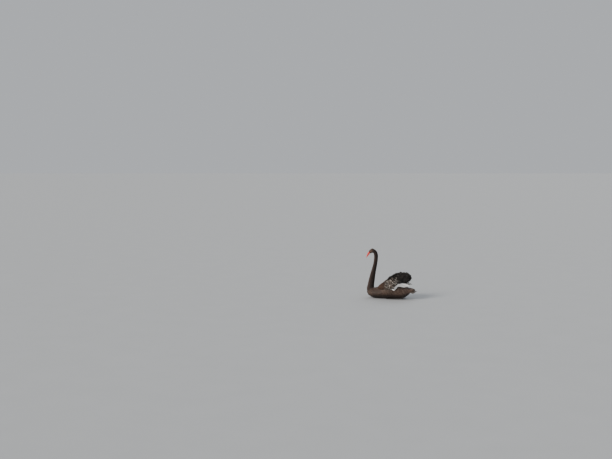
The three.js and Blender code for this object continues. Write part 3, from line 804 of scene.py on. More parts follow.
def coat_of_wing(name, mirrored, seed):
    share, angle = staggered(wing_form, WING_COAT_DEPTH, wing_pitch, 0.95, seed=seed)
    place, normal, forward = form_frame(wing_form, share, angle, WING_COAT_DEPTH, mirrored)
    tips = place + TIP_RUN * (COVERT_LENGTH + COVERT_TIP_GROWN * smoothstep(share, 0.08, 0.6))[:, None]
    keep, place, normal = on_skin(place, normal, WING_DEEPEST, WING_PROUD)
    share, angle, place, normal = kept(keep & ~over_white(tips), (share, angle, place, normal))
    random = np.random.default_rng(seed + 1)
    count = len(share)
    climb = 0.42 * smoothstep(share, 0.10, 0.45) * (0.35 + 0.65 * smoothstep(np.sin(angle), -0.7, 0.7))
    heading = stacked(np.ones(count), 0.0, climb + random.normal(0, 0.10, count))
    ruffle = smoothstep(share, 0.22, 0.55)
    grown = smoothstep(share, 0.08, 0.6)
    length = (COVERT_LENGTH + COVERT_LENGTH_GROWN * grown) * random.uniform(0.82, 1.15, count)
    width = length * (COVERT_WIDTH + 0.05 * random.normal(0, 1, count))
    lift = COVERT_LIFT + 0.12 * ruffle + random.normal(0, 0.05 + 0.06 * ruffle, count)
    curl = ruffle * random.uniform(0.0, 0.24, count)
    middle = smoothstep(share, 0.18, 0.30) * (1 - smoothstep(share, 0.52, 0.66))
    # Painted light: the front of each wing, at the shoulder, is tinted brown, as if warmly sunlit.
    lit_shoulder = 1 - smoothstep(share, 0.10, 0.30)
    rear = smoothstep(share, 0.42, 0.58)
    bright = random.uniform(0.0, 1.0, count) ** 1.3
    rows = {
        "share": share, "angle": angle, "place": place, "normal": normal, "heading": heading,
        "length": length, "width": width, "lift": lift, "curl": curl,
        "tint": np.clip(shades(place, seed + 2, 0.0, 0.30) * (1 - 0.8 * rear) + 0.42 * lit_shoulder, 0, 1),
        "fringe": np.clip((0.07 + 1.05 * middle * smoothstep(np.sin(angle), 1.05, 0.35)) * bright, 0, 1),
    }
    shapes = vane_shapes(*COVERT_VANE, seed + 3)
    coat([name], shapes, rows, seed + 4, covert_stuff)


covert_stuff = plumage(
    "wing_coverts", (0.0036, 0.0031, 0.0032), (0.120, 0.056, 0.032), (0.64, 0.58, 0.52), fringe_from=0.60
)
coat_of_wing("wing_coverts_left", True, 41)
coat_of_wing("wing_coverts_right", False, 51)


# Long feathers: plumes, flight feathers and tail feathers are each made as one blade on a curve, with a
# cupped vane, a worn edge and, on the plumes, the crimped and rolled margin that gives their ruffle.
CRIMP_SPREAD = 4.8
TIP_ROUNDING = 0.06


def trunk_unwrap(root):
    """Place of a root on the trunk's unwrap."""
    share = min(max((root[0] - TRUNK[0][0]) / (TRUNK[-1][0] - TRUNK[0][0]), 0), 1)
    middle = float(along(TRUNK, 1, root[0]) + along(TRUNK, 2, root[0])) / 2
    return unwrapped(share, math.atan2(root[2] - middle, root[1]))


def long_feathers(name, feathers, across, lengthwise, thickness, stuff):
    """feathers: dicts of path (points), broad (vector), half (function of the share), and shaping values."""
    bm = bmesh.new()
    bake, vane = bm.loops.layers.uv.new("OFBake"), bm.loops.layers.uv.new("Vane")
    tint, fringe = bm.verts.layers.float.new("tint"), bm.verts.layers.float.new("fringe")
    for feather in feathers:
        grid = bmesh.ops.create_grid(bm, x_segments=across, y_segments=lengthwise, size=0.5)["verts"]
        path = np.array(feather["path"], dtype=float)
        root_u, root_v = trunk_unwrap(path[0])
        for face in {face for vert in grid for face in vert.link_faces}:
            for loop in face.loops:
                u, v = loop.vert.co.x + 0.5, loop.vert.co.y + 0.5
                loop[vane].uv = (u, v)
                loop[bake].uv = (root_u + (u - 0.5) * BAKE_PATCH, root_v + (v - 0.5) * BAKE_PATCH)
        knots = np.concatenate([[0], np.cumsum(np.linalg.norm(np.diff(path, axis=0), axis=1))])
        size = knots[-1]
        knots /= size
        line = [np.column_stack([knots, path[:, axis]]) for axis in range(3)]
        random = np.random.default_rng(feather["seed"])
        waves, phase = feather.get("waves", 0), random.uniform(0, 2 * math.pi, 2)
        for vert in grid:
            u, v = vert.co.x + 0.5, vert.co.y + 0.5
            side = 2 * u - 1
            at, before, after = [
                np.array([float(along(axis, 1, spot)) for axis in line])
                for spot in (v, max(0, v - 0.02), min(1, v + 0.02))
            ]
            forward = unit(after - before)
            broad = unit(feather["broad"] - forward * np.dot(feather["broad"], forward))
            face_out = np.cross(broad, forward)
            half = feather["half"](v)
            crimp = feather.get("crimp", 0.0) * abs(side) ** 1.6 * float(smoothstep(v, 0.15, 0.5))
            wave = math.sin(waves * 2 * math.pi * v + phase[0 if side < 0 else 1] + 0.8 * side)
            roll = feather.get("roll", 0.0) * abs(side) ** 2 * float(smoothstep(v, 0.25, 0.9))
            worn = random.uniform(-1, 1) * feather["worn"] * (abs(side) > 0.9)
            slip = -TIP_ROUNDING * side * side * size * float(smoothstep(v, 0.6, 1.0))
            vert.co = (
                at + broad * half * side * (1 + worn + CRIMP_SPREAD * crimp * wave) + forward * slip
                + face_out * (crimp * wave + roll - feather["cup"] * half * side * side)
            )
            vert[tint], vert[fringe] = feather["tint"], feather["fringe"]
    solid = {"thickness": thickness, "offset": 0.0, "use_even_offset": False}
    return new_piece(name, finished_mesh(bm, name, [("SOLIDIFY", solid)]), stuff)


def blade(widest, root=0.25, swell=0.35, tip_from=0.72, tip=0.12):
    """Half width along a feather: narrow at the root, widest past the middle, round at the tip."""

    def half(v):
        wide = root + (1 - root) * float(smoothstep(v, 0.0, swell))
        if v > tip_from:
            wide *= max(tip, math.sqrt(max(0.0, 1 - ((v - tip_from) / (1.0 - tip_from)) ** 2)))
        return widest * wide

    return half


# Curled plumes: the inner flight feathers and long coverts of a black swan, broad and crimped, which
# rise over the back and roll at their tips. Four overlapping rows stand on each wing.
PLUME_DARK, PLUME_BROWN, PLUME_EDGE = (0.0020, 0.0019, 0.0023), (0.010, 0.0072, 0.0066), (0.095, 0.080, 0.072)
plume_stuff = plumage("curled_plumes", PLUME_DARK, PLUME_BROWN, PLUME_EDGE, barbs=64.0, rough=0.42)
PLUMES = (  # root, tip, half breadth and roll; three tips stand higher than those of the wing's solid
    ((-0.040, 0.098, 0.236), (0.010, 0.100, 0.303), 0.014, 0.008),
    ((-0.002, 0.090, 0.258), (0.052, 0.084, 0.313), 0.018, 0.010),
    ((0.034, 0.080, 0.266), (0.092, 0.068, 0.324), 0.022, 0.012),
    ((0.066, 0.072, 0.268), (0.142, 0.058, 0.326), 0.025, 0.012),
    ((0.098, 0.070, 0.264), (0.194, 0.052, 0.331), 0.025, 0.010),
    ((0.122, 0.070, 0.258), (0.221, 0.054, 0.315), 0.024, 0.006),
    ((0.130, 0.074, 0.248), (0.234, 0.062, 0.276), 0.022, 0.003),
    ((0.120, 0.080, 0.238), (0.228, 0.072, 0.236), 0.018, -0.004),
)
PLUME_ROWS = (  # distance outwards, slip along the wing, size
    (0.0, 0.0, 1.0), (0.018, -0.30, 0.86), (-0.018, 0.25, 0.88), (0.030, 0.10, 0.70),
)
PLUMES_IN_ROW = 13
PLUME_BURIED = 0.30
PLUME_CRIMP = 0.0062
PLUME_THICKNESS = 0.0006


def between(first, second, blend):
    return np.asarray(first) * (1 - blend) + np.asarray(second) * blend


def plume_list(mirrored, seed):
    random = np.random.default_rng(seed)
    sign = -1.0 if mirrored else 1.0
    flip = np.array([1.0, sign, 1.0])
    feathers = []
    for outwards, slip, scale in PLUME_ROWS:
        for step in np.linspace(0, len(PLUMES) - 1, PLUMES_IN_ROW):
            first = int(min(max(step + slip, 0), len(PLUMES) - 1.001))
            blend = min(max(step + slip, 0), len(PLUMES) - 1) - first
            pairs = zip(PLUMES[first], PLUMES[first + 1])
            start, end, breadth, roll = [between(*pair, blend) for pair in pairs]
            start = start - (end - start) * PLUME_BURIED
            end = start + (end - start) * (scale + random.uniform(-0.09, 0.02))
            chord = end - start
            side = np.array([0.0, outwards * 0.8 + random.uniform(-0.007, 0.007), 0.0])
            swell = np.array([0.0, 0.010, roll * 0.8])
            path = [
                start + np.array([0.0, outwards * 0.25, 0.0]),
                start + chord * 0.35 + side * 0.6 + swell * 0.6,
                start + chord * 0.68 + side + swell,
                start + chord * 0.90 + side + swell * 0.8,
                end + side * 1.1 + np.array([0.005, 0.004 + 0.35 * outwards, -0.011]),
            ]
            turn = random.uniform(0.10, 0.65)
            broad = np.array([-chord[2], turn * np.linalg.norm(chord) + 1.2 * outwards, chord[0]])
            feathers.append({
                "path": [p * flip for p in path], "broad": unit(broad * flip),
                "half": blade(breadth * 0.86 * scale, root=0.35), "crimp": PLUME_CRIMP,
                "waves": random.uniform(4.5, 7.0), "roll": sign * random.uniform(0.000, 0.009),
                "cup": 0.20 * sign, "worn": 0.07, "tint": random.uniform(0.0, 0.5),
                "fringe": random.uniform(0.10, 0.50), "seed": int(random.integers(1, 1 << 30)),
            })
    return feathers


for side_name, mirrored, seed in (("left", True, 61), ("right", False, 62)):
    name, feathers = "curled_plumes_" + side_name, plume_list(mirrored, seed)
    long_feathers(name, feathers, 8, 40, PLUME_THICKNESS, plume_stuff)


# White flight feathers: the outer secondaries show their tips along the wing's lower rear edge, and the
# primaries lie back from under the plumes to a point above the tail. They are clean white, with a grey rim of
# painted shade that parts the overlapping vanes.
# The grey rim colour is painted shade, standing in for the shading between overlapping white vanes.
WHITE, WHITE_WORN, WHITE_RIM_SHADE = (0.93, 0.92, 0.90), (0.90, 0.88, 0.84), (0.62, 0.59, 0.55)
white_stuff = plumage(
    "white_flight_feathers", WHITE, WHITE_WORN, WHITE_RIM_SHADE,
    barbs=70.0, rough=0.5, bump=0.4, fringe_from=0.84, barb_shade=0.86
)
SECONDARY_TIPS = (
    (0.070, 0.130, 0.130), (0.082, 0.130, 0.141), (0.094, 0.128, 0.154),
    (0.107, 0.123, 0.172), (0.120, 0.117, 0.189), (0.131, 0.111, 0.205),
)
SECONDARY_RUN = np.array([-0.074, -0.004, 0.030])
SECONDARY_HALF, PRIMARY_HALF = 0.0175, 0.0150
SECONDARY_BROAD, PRIMARY_BROAD = np.array([0.35, -0.25, 1.0]), np.array([-0.1, -0.62, 1.0])
QUILL_THICKNESS = 0.0007
PRIMARY_ROOT = np.array([0.070, 0.103, 0.190])
PRIMARY_TIPS = (
    (0.200, 0.078, 0.166), (0.232, 0.075, 0.173), (0.256, 0.074, 0.181), (0.247, 0.079, 0.187),
    (0.236, 0.084, 0.192), (0.222, 0.088, 0.197), (0.206, 0.092, 0.201), (0.188, 0.096, 0.205),
)


def white_list(mirrored, seed):
    random = np.random.default_rng(seed)
    sign = -1.0 if mirrored else 1.0
    flip = np.array([1, sign, 1])
    feathers = []
    for number, tip in enumerate(SECONDARY_TIPS):
        end = np.array(tip)
        start = end + SECONDARY_RUN
        middle = (start + end) / 2 + np.array([0, 0.004, 0.004])
        feathers.append({
            "path": [start * flip, middle * flip, end * flip], "broad": unit(SECONDARY_BROAD * flip),
            "half": blade(SECONDARY_HALF, root=0.5, tip_from=0.80), "cup": 0.12 * sign, "worn": 0.02,
            "tint": random.uniform(0, 0.5), "fringe": 0.5, "seed": seed + number,
        })
    for number, tip in enumerate(PRIMARY_TIPS):
        end = np.array(tip)
        start = PRIMARY_ROOT + np.array([0.0, 0.0022 * number, 0.004 * number - 0.010])
        middle = start * 0.45 + end * 0.55 + np.array([0, 0.002, 0.010])
        feathers.append({
            "path": [start * flip, middle * flip, end * flip], "broad": unit(PRIMARY_BROAD * flip),
            "half": blade(PRIMARY_HALF, root=0.6, swell=0.2, tip_from=0.62, tip=0.10), "cup": 0.18 * sign,
            "worn": 0.015, "tint": random.uniform(0, 0.4), "fringe": 0.5, "seed": seed + 20 + number,
        })
    return feathers


for side_name, mirrored, seed in (("left", True, 71), ("right", False, 72)):
    name, feathers = "white_quills_" + side_name, white_list(mirrored, seed)
    quills = long_feathers(name, feathers, 6, 24, QUILL_THICKNESS, white_stuff)
    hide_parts("quills_" + side_name)


# Tail: a short, rounded fan of stiff feathers, closed and slightly arched, the middle pair uppermost,
# covered at its root above by small coverts like those of the rump.
TAIL_DARK, TAIL_BROWN, TAIL_EDGE = (0.012, 0.010, 0.0092), (0.048, 0.036, 0.029), (0.150, 0.120, 0.098)
tail_stuff = plumage("tail_feathers", TAIL_DARK, TAIL_BROWN, TAIL_EDGE, barbs=60.0)
TAIL_ROOT = np.array([0.228, 0.0, 0.118])
TAIL_PAIRS = 8
TAIL_SPREAD = math.radians(24.0)
TAIL_LENGTH = 0.103
TAIL_FEATHER_HALF = 0.0175
TAIL_COAT_DEPTH = 0.008
TAIL_COVERT_LENGTH, TAIL_COVERT_WIDTH, TAIL_COVERT_LIFT = 0.038, 0.55, 0.07
TAIL_COVERT_PITCH = 0.0085
TAIL_COVERT_START, TAIL_COVERT_DEEPEST = 0.212, 0.0035
TAIL_THICKNESS = 0.0008


def tail_list(seed):
    """Two layers of feathers, the lower one shorter and set between those of the upper one."""
    random = np.random.default_rng(seed)
    feathers = []
    upper, lower = 2 * TAIL_PAIRS - 1, 2 * TAIL_PAIRS - 2
    places = np.concatenate([np.linspace(-1, 1, upper), np.linspace(-0.92, 0.92, lower)])
    for number, share in enumerate(places):
        shorter, under = (0.88, 0.006) if number >= upper else (1.0, 0.0)
        bearing = share * TAIL_SPREAD
        length = TAIL_LENGTH * (1 - 0.22 * abs(share) ** 1.6) * shorter
        start = TAIL_ROOT + np.array([0, 0.030 * share, -0.006 * abs(share) ** 1.5 - under])
        run = np.array([math.cos(bearing), math.sin(bearing) + 0.12 * share, 0.0])
        end = start + run * length + np.array([0, 0, -0.014 - 0.010 * abs(share) ** 2])
        middle = start + run * length * 0.5 + np.array([0, 0, -0.003 - 0.005 * abs(share) ** 2])
        feathers.append({
            "path": [start, middle, end], "broad": unit(np.array([0.0, 1.0, -0.35 * share])),
            "half": blade(TAIL_FEATHER_HALF, root=0.50, tip_from=0.86, tip=0.50), "cup": -0.12, "worn": 0.03,
            "tint": random.uniform(0.1, 0.8), "fringe": random.uniform(0.5, 0.9), "seed": seed + number,
        })
    return feathers


def under_skin(points, depth):
    hidden = np.zeros(len(points), dtype=bool)
    for number, point in enumerate(points):
        near, normal, _, _ = skin_tree.find_nearest(Vector(point))
        hidden[number] = (Vector(point) - near).dot(normal) < -depth
    return hidden


def coat_of_tail():
    share, angle = staggered(
        tail_form, TAIL_COAT_DEPTH, lambda share: TAIL_COVERT_PITCH, 1.0, seed=82, last=0.44
    )
    place, normal, forward = form_frame(tail_form, share, angle, TAIL_COAT_DEPTH, False)
    keep = ~under_skin(place, TAIL_COVERT_DEEPEST) & (place[:, 0] > TAIL_COVERT_START)
    share, angle, place, normal, forward = kept(keep, (share, angle, place, normal, forward))
    random = np.random.default_rng(83)
    length = TAIL_COVERT_LENGTH * random.uniform(0.85, 1.15, len(share))
    fringe = 0.75 * random.uniform(0.6, 1.0, len(share))
    rows = {
        "share": share, "angle": angle, "place": place, "normal": normal,
        "heading": forward * np.array([1.0, 0.45, 0.8]) + np.array([0.8, 0.0, 0.0]),
        "length": length, "width": length * TAIL_COVERT_WIDTH,
        "lift": TAIL_COVERT_LIFT + random.normal(0, 0.025, len(share)),
        "tint": shades(place, 84, 0.3, 0.95), "fringe": fringe,
    }
    coat(["tail_coverts"], vane_shapes(*BODY_VANE, 85, ROUND_TIP), rows, 86, body_stuff)


long_feathers("tail_feathers", tail_list(81), 8, 20, TAIL_THICKNESS, tail_stuff)
coat_of_tail()


# Bill: two horny mandibles that meet along the mouth line, crimson, with a pale bar near the tip and a
# paler nail. The nostrils are slits at mid-length, their openings painted near-black as painted shade. The
# root runs into the bare skin of the face.
BILL_PITCH = math.radians(58.0)
BILL_LENGTH = 0.074
BILL_BURIED = 0.008
MOUTH_DROP = 0.0024
BILL = (  # distance from the root, up, down, half breadth
    (-0.008, 0.0090, 0.0080, 0.0100), (0.000, 0.0166, 0.0128, 0.0152), (0.006, 0.0172, 0.0130, 0.0154),
    (0.022, 0.0144, 0.0112, 0.0134), (0.044, 0.0098, 0.0076, 0.0122), (0.064, 0.0072, 0.0060, 0.0124),
    (0.074, 0.0050, 0.0058, 0.0100),
)
NOSTRIL = (0.0335, 0.62, 0.0052, 0.14)  # distance along, angle up the side, half length, half angle
NAIL = (0.0690, 0.0062, 0.0052)  # distance along, half length, half breadth
NAIL_START = (0.0640, 0.0662)
PALE_BAR_START, PALE_BAR_END = (0.0545, 0.0570), (0.0595, 0.0620)
# Half sizes of the painted shade in each nostril's opening, along the bill and up its side.
NOSTRIL_SHADE_HALF = (0.0046, 0.0013)
BILL_ROOT = head_point(0.035, 0.0, -0.003)
BILL_AXIS = np.array([-math.cos(BILL_PITCH), 0.0, -math.sin(BILL_PITCH)])
BILL_UP = np.array([-math.sin(BILL_PITCH), 0.0, math.cos(BILL_PITCH)])


def bill_point(far, side, up):
    far, side, up = np.broadcast_arrays(far, side, up)
    return BILL_ROOT + far[..., None] * BILL_AXIS + up[..., None] * BILL_UP + stacked(0.0, side, 0.0)


def upper_bill_form(share, angle, sunk):
    far = -BILL_BURIED + (BILL_LENGTH + BILL_BURIED) * np.asarray(share, dtype=float)
    full = rounded_end(BILL_LENGTH - far, 0.009)
    mouth = -MOUTH_DROP * np.clip(far / BILL_LENGTH, 0, 1) + 0.0004 * np.sin(far * 90)
    sine, cosine = np.sin(angle), np.cos(angle)
    up, half = along(BILL, 1, far) - mouth, along(BILL, 3, far)
    rise = np.where(sine > 0, np.abs(sine) ** 0.92 * up * (0.25 + 0.75 * full), np.abs(sine) * up * 0.12)
    reach = half * full * np.sign(cosine) * np.abs(cosine) ** 0.85
    climb = np.arcsin(np.clip(sine, 0, 1))
    past = far - NOSTRIL[0]
    slot = np.hypot(past / NOSTRIL[2], (climb - NOSTRIL[1] - past * 8) / NOSTRIL[3])
    dent = 0.0017 * (1 - smoothstep(slot, 0.45, 1.0)) - 0.0005 * np.exp(-((slot - 1.25) / 0.25) ** 2)
    shield = np.hypot((far - NAIL[0]) / NAIL[1], reach / NAIL[2])
    raised = 0.0007 * (1 - smoothstep(shield, 0.88, 1.0)) * (sine > 0)
    inward = dent * (sine > 0)
    return bill_point(far, reach - inward * cosine, mouth + rise + raised - inward * sine)


def lower_bill_form(share, angle, sunk):
    end = BILL_LENGTH - 0.0022
    far = -BILL_BURIED + (end + BILL_BURIED) * np.asarray(share, dtype=float)
    full = rounded_end(end - far, 0.008)
    mouth = -MOUTH_DROP * np.clip(far / BILL_LENGTH, 0, 1) + 0.0004 * np.sin(far * 90) - 0.0003
    sine, cosine = np.sin(angle), np.cos(angle)
    down, half = along(BILL, 2, far) + mouth, along(BILL, 3, far) * 0.93
    keel = 1 - 0.22 * np.exp(-((cosine / 0.28) ** 2)) * smoothstep(far, 0.004, 0.02)
    fall = np.where(sine < 0, np.abs(sine) ** 0.8 * down * (0.2 + 0.8 * full) * keel, 0.0)
    reach = half * full * np.sign(cosine) * np.abs(cosine) ** 0.8
    return bill_point(far, reach, mouth - fall)


HORN_RED, HORN_DEEP, HORN_PALE = (0.82, 0.065, 0.050), (0.60, 0.024, 0.022), (0.86, 0.52, 0.44)
# The nostril colour is painted shade: a near-black patch in each nostril's shallow dent, for the dark of its
# opening.
NOSTRIL_SHADE_COLOUR = (0.020, 0.004, 0.004)
horn_stuff, horn_nodes, horn_shader = node_material(
    "red_horn", Roughness=0.33, Coat_Weight=0.18, Coat_Roughness=0.2
)
horn_red = mixed(horn_nodes, ramped(horn_nodes, noised(horn_nodes, 160.0), 0.35, 0.70), HORN_RED, HORN_DEEP)
horn_banded = mixed(horn_nodes, attribute(horn_nodes, "pale"), horn_red, HORN_PALE)
horn_final = mixed(horn_nodes, attribute(horn_nodes, "nostril_shade"), horn_banded, NOSTRIL_SHADE_COLOUR)
coloured(horn_nodes, horn_shader, horn_final, noised(horn_nodes, 620.0, 5.0), 0.22, 0.0006)


def marked_bill(name, form, node):
    mesh = finished_mesh(form_shape(form, 0.0, 132, 84), name)
    spots = np.empty(len(mesh.vertices) * 3, dtype=np.float32)
    mesh.vertices.foreach_get("co", spots)
    spots = spots.reshape(-1, 3).astype(float) - BILL_ROOT
    far, up, side = spots @ BILL_AXIS, spots @ BILL_UP, np.abs(spots[:, 1])
    wander = 0.0009 * np.sin(side * 700) + 0.0006 * np.sin(up * 900 + 1.0)
    bar = smoothstep(far + wander, *PALE_BAR_START) * (1 - smoothstep(far + wander, *PALE_BAR_END))
    nail = smoothstep(far, *NAIL_START) * (side < NAIL[2] + 0.0004) * 0.75
    pale = np.clip(bar * 0.9 + nail, 0, 1) * (1.0 if node == "bill_upper" else 0.45)
    nostril_share = (NOSTRIL[0] + BILL_BURIED) / (BILL_LENGTH + BILL_BURIED)
    hole = upper_bill_form(nostril_share, NOSTRIL[1], 0.0) - BILL_ROOT
    above_hole = up - hole @ BILL_UP + (far - NOSTRIL[0]) * 0.12
    gap = np.hypot((far - hole @ BILL_AXIS) / NOSTRIL_SHADE_HALF[0], above_hole / NOSTRIL_SHADE_HALF[1])
    # Painted shade: the nostril openings are darkened over the dent.
    nostril_shade = (1 - smoothstep(gap, 0.7, 1.15)) * (side > 0.004) * (1.0 if node == "bill_upper" else 0.0)
    for label, values in (("pale", pale), ("nostril_shade", nostril_shade)):
        mesh.attributes.new(label, "FLOAT", "POINT").data.foreach_set("value", values.astype(np.float32))
    piece = new_piece(name, mesh, horn_stuff)
    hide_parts(node)


marked_bill("upper_bill", upper_bill_form, "bill_upper")
marked_bill("lower_bill", lower_bill_form, "bill_lower")


# Eyes: crimson iris round a black pupil under a clear wet cornea, set in the side of the head and held
# by thin wrinkled lids that leave an almond-shaped opening.
EYE_SINK = 0.0030
PUPIL_RING, IRIS_RING = 0.105, 0.235  # share of the half turn from the middle of the pupil
PUPIL_EDGE, IRIS_EDGE = 0.012, 0.03
IRIS_LIGHT, IRIS_DEEP = (0.60, 0.016, 0.010), (0.28, 0.006, 0.006)
PUPIL_BLACK, EYE_RIM = (0.002, 0.002, 0.002), (0.030, 0.010, 0.009)
CORNEA_SWELL, CORNEA_RING = 0.0006, 0.30
LID_STEP = 0.0006
LID_THICKNESS = 0.0009
LID_OPENING = (math.radians(40.0), math.radians(30.0))  # along the head and across it
LID_REACH = math.radians(80.0)
LID_DARK, LID_BROWN, LID_RED = (0.026, 0.018, 0.014), (0.060, 0.038, 0.028), (0.20, 0.016, 0.013)
eye_stuff, eye_nodes, eye_shader = node_material("eye", Roughness=0.12, Coat_Weight=1.0, Coat_Roughness=0.02)
eye_ring = attribute(eye_nodes, "ring")
eye_fibre = mixed(eye_nodes, ramped(eye_nodes, noised(eye_nodes, 1500.0), 0.35, 0.7), IRIS_LIGHT, IRIS_DEEP)
eye_pupil = ramped(eye_nodes, eye_ring, PUPIL_RING, PUPIL_RING + PUPIL_EDGE)
eye_iris = ramped(eye_nodes, eye_ring, IRIS_RING, IRIS_RING + IRIS_EDGE)
eye_inner = mixed(eye_nodes, eye_pupil, PUPIL_BLACK, eye_fibre)
coloured(eye_nodes, eye_shader, mixed(eye_nodes, eye_iris, eye_inner, EYE_RIM))

lid_stuff, lid_nodes, lid_shader = node_material("eyelid", Roughness=0.45)
lid_tone = mixed(lid_nodes, ramped(lid_nodes, noised(lid_nodes, 700.0), 0.3, 0.7), LID_DARK, LID_BROWN)
lid_final = mixed(lid_nodes, ramped(lid_nodes, attribute(lid_nodes, "ring"), 0.04, 0.22), LID_RED, lid_tone)
coloured(lid_nodes, lid_shader, lid_final, noised(lid_nodes, 1300.0), 0.4)


def eye_and_lids(side_name, side):
    centre = head_point(EYE_AHEAD, side * (EYE_SIDE - EYE_SINK), EYE_ABOVE)
    tip = head_point(EYE_AHEAD + 0.0026, side * (EYE_SIDE + 0.0100), EYE_ABOVE + 0.0018)
    out = unit(tip - head_point(EYE_AHEAD, side * EYE_SIDE, EYE_ABOVE))
    ahead = unit(head_point(1.0, 0.0, 0.0) - head_point(0.0, 0.0, 0.0))
    ahead = unit(ahead - out * np.dot(ahead, out))
    above = np.cross(out, ahead) * side
    bm = bmesh.new()
    ring = bm.verts.layers.float.new("ring")
    bmesh.ops.create_uvsphere(bm, u_segments=48, v_segments=36, radius=1.0)
    for vert in bm.verts:
        x, y, z = vert.co
        vert[ring] = math.acos(max(-1.0, min(1.0, z))) / math.pi
        swell = EYE_RADIUS + CORNEA_SWELL * max(0.0, 1 - (vert[ring] / CORNEA_RING) ** 2)
        vert.co = centre + (ahead * x + above * y + out * z) * swell
    bmesh.ops.recalc_face_normals(bm, faces=bm.faces[:])
    name = "eyeball_" + side_name
    ball = new_piece(name, finished_mesh(bm, name), eye_stuff)
    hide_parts("eye_" + side_name)

    bm = bmesh.new()
    ring = bm.verts.layers.float.new("ring")
    bmesh.ops.create_grid(bm, x_segments=64, y_segments=9, size=0.5)
    for vert in bm.verts:
        turn, far = (vert.co.x + 0.5) * 2 * math.pi, vert.co.y + 0.5
        cosine, sine = math.cos(turn), math.sin(turn)
        corner = abs(cosine) ** 3 * 0.10
        opening = 1 / math.hypot(cosine / LID_OPENING[0], sine / LID_OPENING[1]) + corner
        polar = opening + (LID_REACH - opening) * far
        fold = 0.00035 * math.sin(far * 15.0) * (1 - far)
        shell = EYE_RADIUS + LID_STEP + fold - 0.0004 * far
        vert[ring] = far
        vert.co = centre + shell * (math.sin(polar) * (ahead * cosine + above * sine) + out * math.cos(polar))
    bmesh.ops.remove_doubles(bm, verts=bm.verts[:], dist=1e-6)
    bmesh.ops.recalc_face_normals(bm, faces=bm.faces[:])
    solid = ("SOLIDIFY", {"thickness": LID_THICKNESS, "offset": 0.0})
    rounder = ("SUBSURF", {"levels": 1, "render_levels": 1})
    name = "lids_" + side_name
    new_piece(name, finished_mesh(bm, name, [solid, rounder]), lid_stuff)


eye_and_lids("left", -1)
eye_and_lids("right", 1)


# Legs and feet: greyish-black scaled skin. The shank lies back under the flank and the three webbed
# toes point forward, folded flat; a small hind toe stands clear. The claws are dull dark horn.
SCALE_GROOVE, SCALE_DARK, SCALE_GREY = (0.010, 0.009, 0.009), (0.016, 0.015, 0.015), (0.055, 0.049, 0.045)
leg_stuff, leg_nodes, leg_shader = node_material("leg_skin", Roughness=0.48)
leg_joint = ramped(leg_nodes, celled(leg_nodes, 420.0, "DISTANCE_TO_EDGE"), 0.02, 0.16)
leg_mottle = mixed(leg_nodes, ramped(leg_nodes, noised(leg_nodes, 55.0), 0.3, 0.7), SCALE_DARK, SCALE_GREY)
leg_final = mixed(leg_nodes, leg_joint, SCALE_GROOVE, leg_mottle)
coloured(leg_nodes, leg_shader, leg_final, leg_joint, 0.5, 0.0006)

CLAW_DARK, CLAW_GREY = (0.018, 0.015, 0.014), (0.060, 0.050, 0.044)
claw_stuff, claw_nodes, claw_shader = node_material("claw_horn", Roughness=0.35)
claw_tone = mixed(claw_nodes, ramped(claw_nodes, noised(claw_nodes, 500.0), 0.3, 0.7), CLAW_DARK, CLAW_GREY)
coloured(claw_nodes, claw_shader, claw_tone, noised(claw_nodes, 900.0), 0.2)

FOOT_VOXEL = 0.0012
SOLE_CLEAR = 0.0008
HEEL, TOE_ROOT = (0.152, 0.062, 0.0120), (0.062, 0.080, 0.0080)
SHANK = ((0, 0.0098), (0.12, 0.0088), (0.5, 0.0064), (0.9, 0.0072), (1, 0.0070))  # share, radius
ANKLE = ((0.165, 0.058, 0.030), (0.150, 0.062, 0.011))
TOES = (  # tip, half breadth
    ((-0.030, 0.060, 0.0042), 0.0052), ((-0.056, 0.080, 0.0042), 0.0058), ((-0.040, 0.099, 0.0042), 0.0052),
)
HIND_TOE = ((0.074, 0.0700, 0.0085), (0.094, 0.0640, 0.0060))
TOE_KNUCKLES = 4
WEB_THICKNESS = 0.0026
CLAW_LENGTH, CLAW_HALF = 0.0080, 0.0028


def limb_form(start, end, radii, knuckles=0):
    """A tapering limb between two points, swollen at its knuckles; radii are (share, radius) rows."""
    start, end = np.array(start), np.array(end)
    forward = unit(end - start)
    side = unit(np.cross(np.array([0.0, 0.0, 1.0]), forward))
    up = np.cross(forward, side)
    size = float(np.linalg.norm(end - start))

    def form(share, angle, sunk):
        share = np.asarray(share, dtype=float)
        knuckle = 0.13 * np.abs(np.cos(math.pi * knuckles * share)) ** 6 * (knuckles > 0)
        radius = along(radii, 1, share) * (1 + knuckle)
        full = np.minimum(rounded_end(share * size, 0.004), rounded_end((1 - share) * size, 0.004))
        across, rise = np.cos(angle) * radius * full, np.sin(angle) * radius * full * 0.9
        return start + share[..., None] * (end - start) + across[..., None] * side + rise[..., None] * up

    return form


def web_shape(first, second):
    """The web between two toes: a thin sheet with a hollow front edge."""
    bm = bmesh.new()
    bmesh.ops.create_grid(bm, x_segments=10, y_segments=18, size=0.5)
    root = np.array(TOE_ROOT)
    for vert in bm.verts:
        u, v = vert.co.x + 0.5, vert.co.y + 0.5
        far = v * (0.90 - 0.55 * u * (1 - u))
        place = root * (1 - far) + (np.array(first) * (1 - u) + np.array(second) * u) * far
        vert.co = place - np.array([0, 0, 0.0006 + 0.0025 * u * (1 - u) * v])
    bmesh.ops.solidify(bm, geom=bm.faces[:], thickness=WEB_THICKNESS)
    bmesh.ops.recalc_face_normals(bm, faces=bm.faces[:])
    return bm


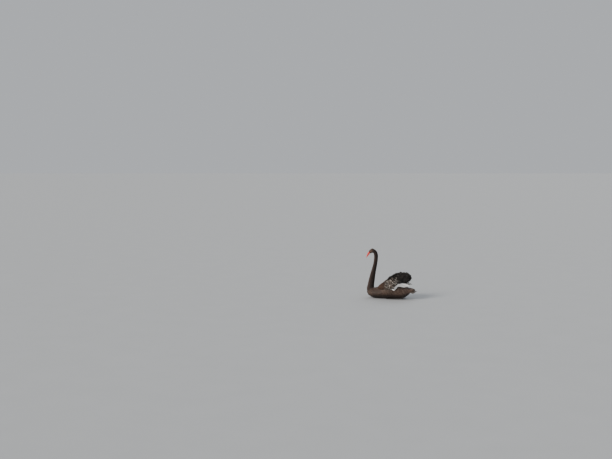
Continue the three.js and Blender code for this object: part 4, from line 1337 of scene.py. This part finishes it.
def claw_shape(tip):
    """A small curved spike past a toe's tip."""
    root = np.array(TOE_ROOT) if tip[0] < HIND_TOE[0][0] else np.array(HIND_TOE[0])
    upright = np.array([0, 0, 1.0])
    forward = unit(tip - root)
    across = unit(np.cross(forward, upright))
    bm = bmesh.new()
    bmesh.ops.create_uvsphere(bm, u_segments=14, v_segments=12, radius=1.0)
    for vert in bm.verts:
        x, y, z = vert.co
        far = (1 + z) / 2
        thin = CLAW_HALF * (1 - far) ** 0.6
        lifted = y * thin + 0.0010 - 0.0032 * far * far
        vert.co = tip + forward * (far * CLAW_LENGTH - 0.002) + across * x * thin + upright * lifted
    return bm


def on_floor(bm, mirrored):
    """Keeps a foot's parts clear of the floor and puts them on their side of the body."""
    for vert in bm.verts:
        vert.co.z = max(vert.co.z, SOLE_CLEAR)
        vert.co.y *= -1 if mirrored else 1
    bmesh.ops.recalc_face_normals(bm, faces=bm.faces[:])
    return bm


def leg_and_foot(side_name, mirrored):
    shapes = [
        form_shape(limb_form(HEEL, TOE_ROOT, SHANK), 0, 44, 24),
        form_shape(limb_form(*ANKLE, ((0, 0.0110), (1, 0.0090))), 0, 20, 20),
        form_shape(limb_form(*HIND_TOE, ((0, 0.0042), (1, 0.0030))), 0, 20, 16),
    ]
    for tip, breadth in TOES:
        radii = ((0, breadth * 1.15), (0.3, breadth), (0.85, breadth * 0.78), (1, breadth * 0.62))
        shapes.append(form_shape(limb_form(TOE_ROOT, tip, radii, TOE_KNUCKLES), 0, 56, 18))
    shapes.append(web_shape(TOES[0][0], TOES[1][0]))
    shapes.append(web_shape(TOES[1][0], TOES[2][0]))
    name = "foot_skin_" + side_name
    mesh = merged(on_floor(joined(shapes), mirrored), name, FOOT_VOXEL, rounds=2)
    foot = new_piece(name, mesh, leg_stuff)
    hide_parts("leg_" + side_name, "foot_" + side_name)

    tips = [np.array(tip) for tip, _ in TOES] + [np.array(HIND_TOE[1])]
    claws = [on_floor(claw_shape(tip), mirrored) for tip in tips]
    name = "claws_" + side_name
    new_piece(name, finished_mesh(joined(claws), name), claw_stuff)


leg_and_foot("left", True)
leg_and_foot("right", False)
